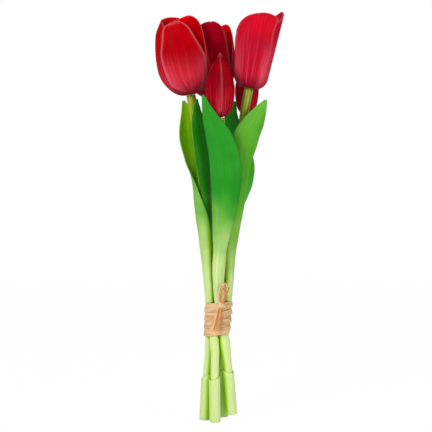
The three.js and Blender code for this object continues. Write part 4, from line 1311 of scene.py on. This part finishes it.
class BOUQUET_OT_cores(bpy.types.Operator):
    """Makes the foam cores with the pistils of the open blooms"""

    bl_idname = "bouquet.cores"
    bl_label = "Flower cores"

    def execute(self, context):
        tints = context.scene.bouquet_colours
        green = foam_material("foamed_polyurethane_core", tints.core_green)
        red = foam_material("foamed_polyurethane_bud_core", tints.petal_deep)
        depth = PEG_LENGTH + SEAT_GAP
        bore = [(0, depth), (BORE_RADIUS, depth), (BORE_RADIUS, SEAT_GAP)]
        rim = CORE_RADIUS
        pistil = [
            (rim - 0.8, SEAT_GAP), (rim - 0.2, SEAT_GAP + 0.2), (rim, SEAT_GAP + 0.8), (rim, 5), (rim, 8),
            (rim * 0.86, 9.6), (rim * 0.7, depth - 2), (rim * 0.64, depth + 3), (rim * 0.62, depth + 8),
            (rim * 0.68, depth + 10), (rim * 0.75, depth + 11.4), (rim * 0.7, depth + 12.6),
            (rim * 0.4, depth + 13.6), (0, depth + 14),
        ]
        for stem in STEMS:
            if stem in BLOOMS:
                profile = bore + pistil
                skin = green
            else:
                base = BUD_FOOT - SEAT_GAP
                profile = bore + [(base, SEAT_GAP), (base, 2.4)]
                for step in range(12):
                    radius, z = bud_line(BUDS[stem], 0.12 + 0.065 * step)
                    profile.append((max(radius - 1.6, 0.2), z + 0.4))
                profile.append((0, profile[-1][1] + 1))
                skin = red
            shape = bent_shape((CORE_SIDES, len(profile) - 1), turned(profile, on_head(stem)))
            close_tube(shape, False)
            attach(finish_piece("foam_core_" + stem, shape, [skin], ["core_" + stem]), "head_" + stem)
        return {"FINISHED"}


class BOUQUET_OT_raffia(bpy.types.Operator):
    """Makes the raffia winding and its knot, loop and tails"""

    bl_idname = "bouquet.raffia"
    bl_label = "Raffia"

    def execute(self, context):
        wall = context.scene.bouquet_sizes.raffia_wall / MM
        tints = context.scene.bouquet_colours
        straw = raffia_material("dry_raffia", tints, browning=0.1)
        tan = raffia_material("dry_raffia_tan", tints, browning=0.28)
        brown = raffia_material("dry_raffia_brown", tints, browning=0.5)
        turn_length = 80.0
        strand_wall = 1.0
        repeats = turn_length * RAFFIA_TURNS / RAFFIA_TEXTURE
        shape = bent_shape(BAND_GRID, winding_surface(wall), lambda x, y, point: (x, y * repeats))
        close_tube(shape, True)
        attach(finish_piece("raffia_band", shape, [straw], ["raffia_winding"]), "bundle")

        angle = math.radians(KNOT_ANGLE)
        out = polar(1, angle)
        side = Vector((-math.sin(angle), math.cos(angle), 0))
        height = TIE_TOP - RAFFIA_WIDTH * 0.75
        clear = bundle_reach(angle, KNOT_REACH, height)
        centre = BUNDLE_AXIS + out * (clear + KNOT_DEPTH) + UP * height

        def spot(aside, forward, share):
            rise = share * (LOOP_HEIGHT if share > 0 else TAIL_LENGTH)
            return centre + side * aside + out * forward + UP * rise

        def knot(across, along):
            turn = 2 * math.pi * across
            tilt = math.pi * (along - 0.5)
            ridge = 1 + 0.07 * math.sin(5 * tilt + 2 * math.sin(turn)) * math.cos(tilt)
            around = math.cos(tilt) * ridge
            return (
                centre + side * (KNOT_SIZE / 2 * math.sin(tilt))
                + out * (KNOT_DEPTH * around * math.cos(turn)) + UP * (KNOT_RISE * around * math.sin(turn))
            )

        shape = bent_shape(KNOT_GRID, knot, lambda x, y, point: (y, x * 0.25))
        for seed, (skin, width, places) in enumerate(STRANDS):
            points = [spot(*place) for place in places]
            repeats = sum((b - a).length for a, b in zip(points, points[1:])) / RAFFIA_TEXTURE
            made = bend_grid(
                shape, STRAND_GRID, strand_surface(points, out, width, strand_wall, seed),
                lambda x, y, point: (x + seed, y * repeats),
            )
            for face in {face for vert in made for face in vert.link_faces}:
                face.material_index = skin
        close_tube(shape, True)
        skins = [straw, tan, brown]
        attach(finish_piece("raffia_knot", shape, skins, ["raffia_bow"]), "bundle")
        return {"FINISHED"}


OPERATORS = (
    BOUQUET_OT_stage, BOUQUET_OT_stems, BOUQUET_OT_wires, BOUQUET_OT_feet, BOUQUET_OT_leaves,
    BOUQUET_OT_blooms, BOUQUET_OT_buds, BOUQUET_OT_cores, BOUQUET_OT_raffia,
)


class BOUQUET_PT_panel(bpy.types.Panel):
    """Lists the bouquet's pieces"""

    bl_idname = "BOUQUET_PT_panel"
    bl_label = "Tulip bouquet"
    bl_space_type = "VIEW_3D"
    bl_region_type = "UI"
    bl_category = "Bouquet"

    def draw(self, context):
        for operator in OPERATORS:
            self.layout.operator(operator.bl_idname)


CLASSES = (BouquetSizes, BouquetColours, *OPERATORS, BOUQUET_PT_panel)


def register():
    """Makes the classes and settings known."""
    for item in CLASSES:
        bpy.utils.register_class(item)
    bpy.types.Scene.bouquet_sizes = PointerProperty(type=BouquetSizes)
    bpy.types.Scene.bouquet_colours = PointerProperty(type=BouquetColours)


def unregister():
    """Takes the classes and settings away."""
    del bpy.types.Scene.bouquet_colours
    del bpy.types.Scene.bouquet_sizes
    for item in reversed(CLASSES):
        bpy.utils.unregister_class(item)


def main():
    """Builds the whole bouquet."""
    register()
    bpy.ops.bouquet.stage()
    bpy.ops.bouquet.stems()
    bpy.ops.bouquet.wires()
    bpy.ops.bouquet.feet()
    bpy.ops.bouquet.leaves()
    bpy.ops.bouquet.blooms()
    bpy.ops.bouquet.buds()
    bpy.ops.bouquet.cores()
    bpy.ops.bouquet.raffia()


if __name__ == "__main__":
    main()
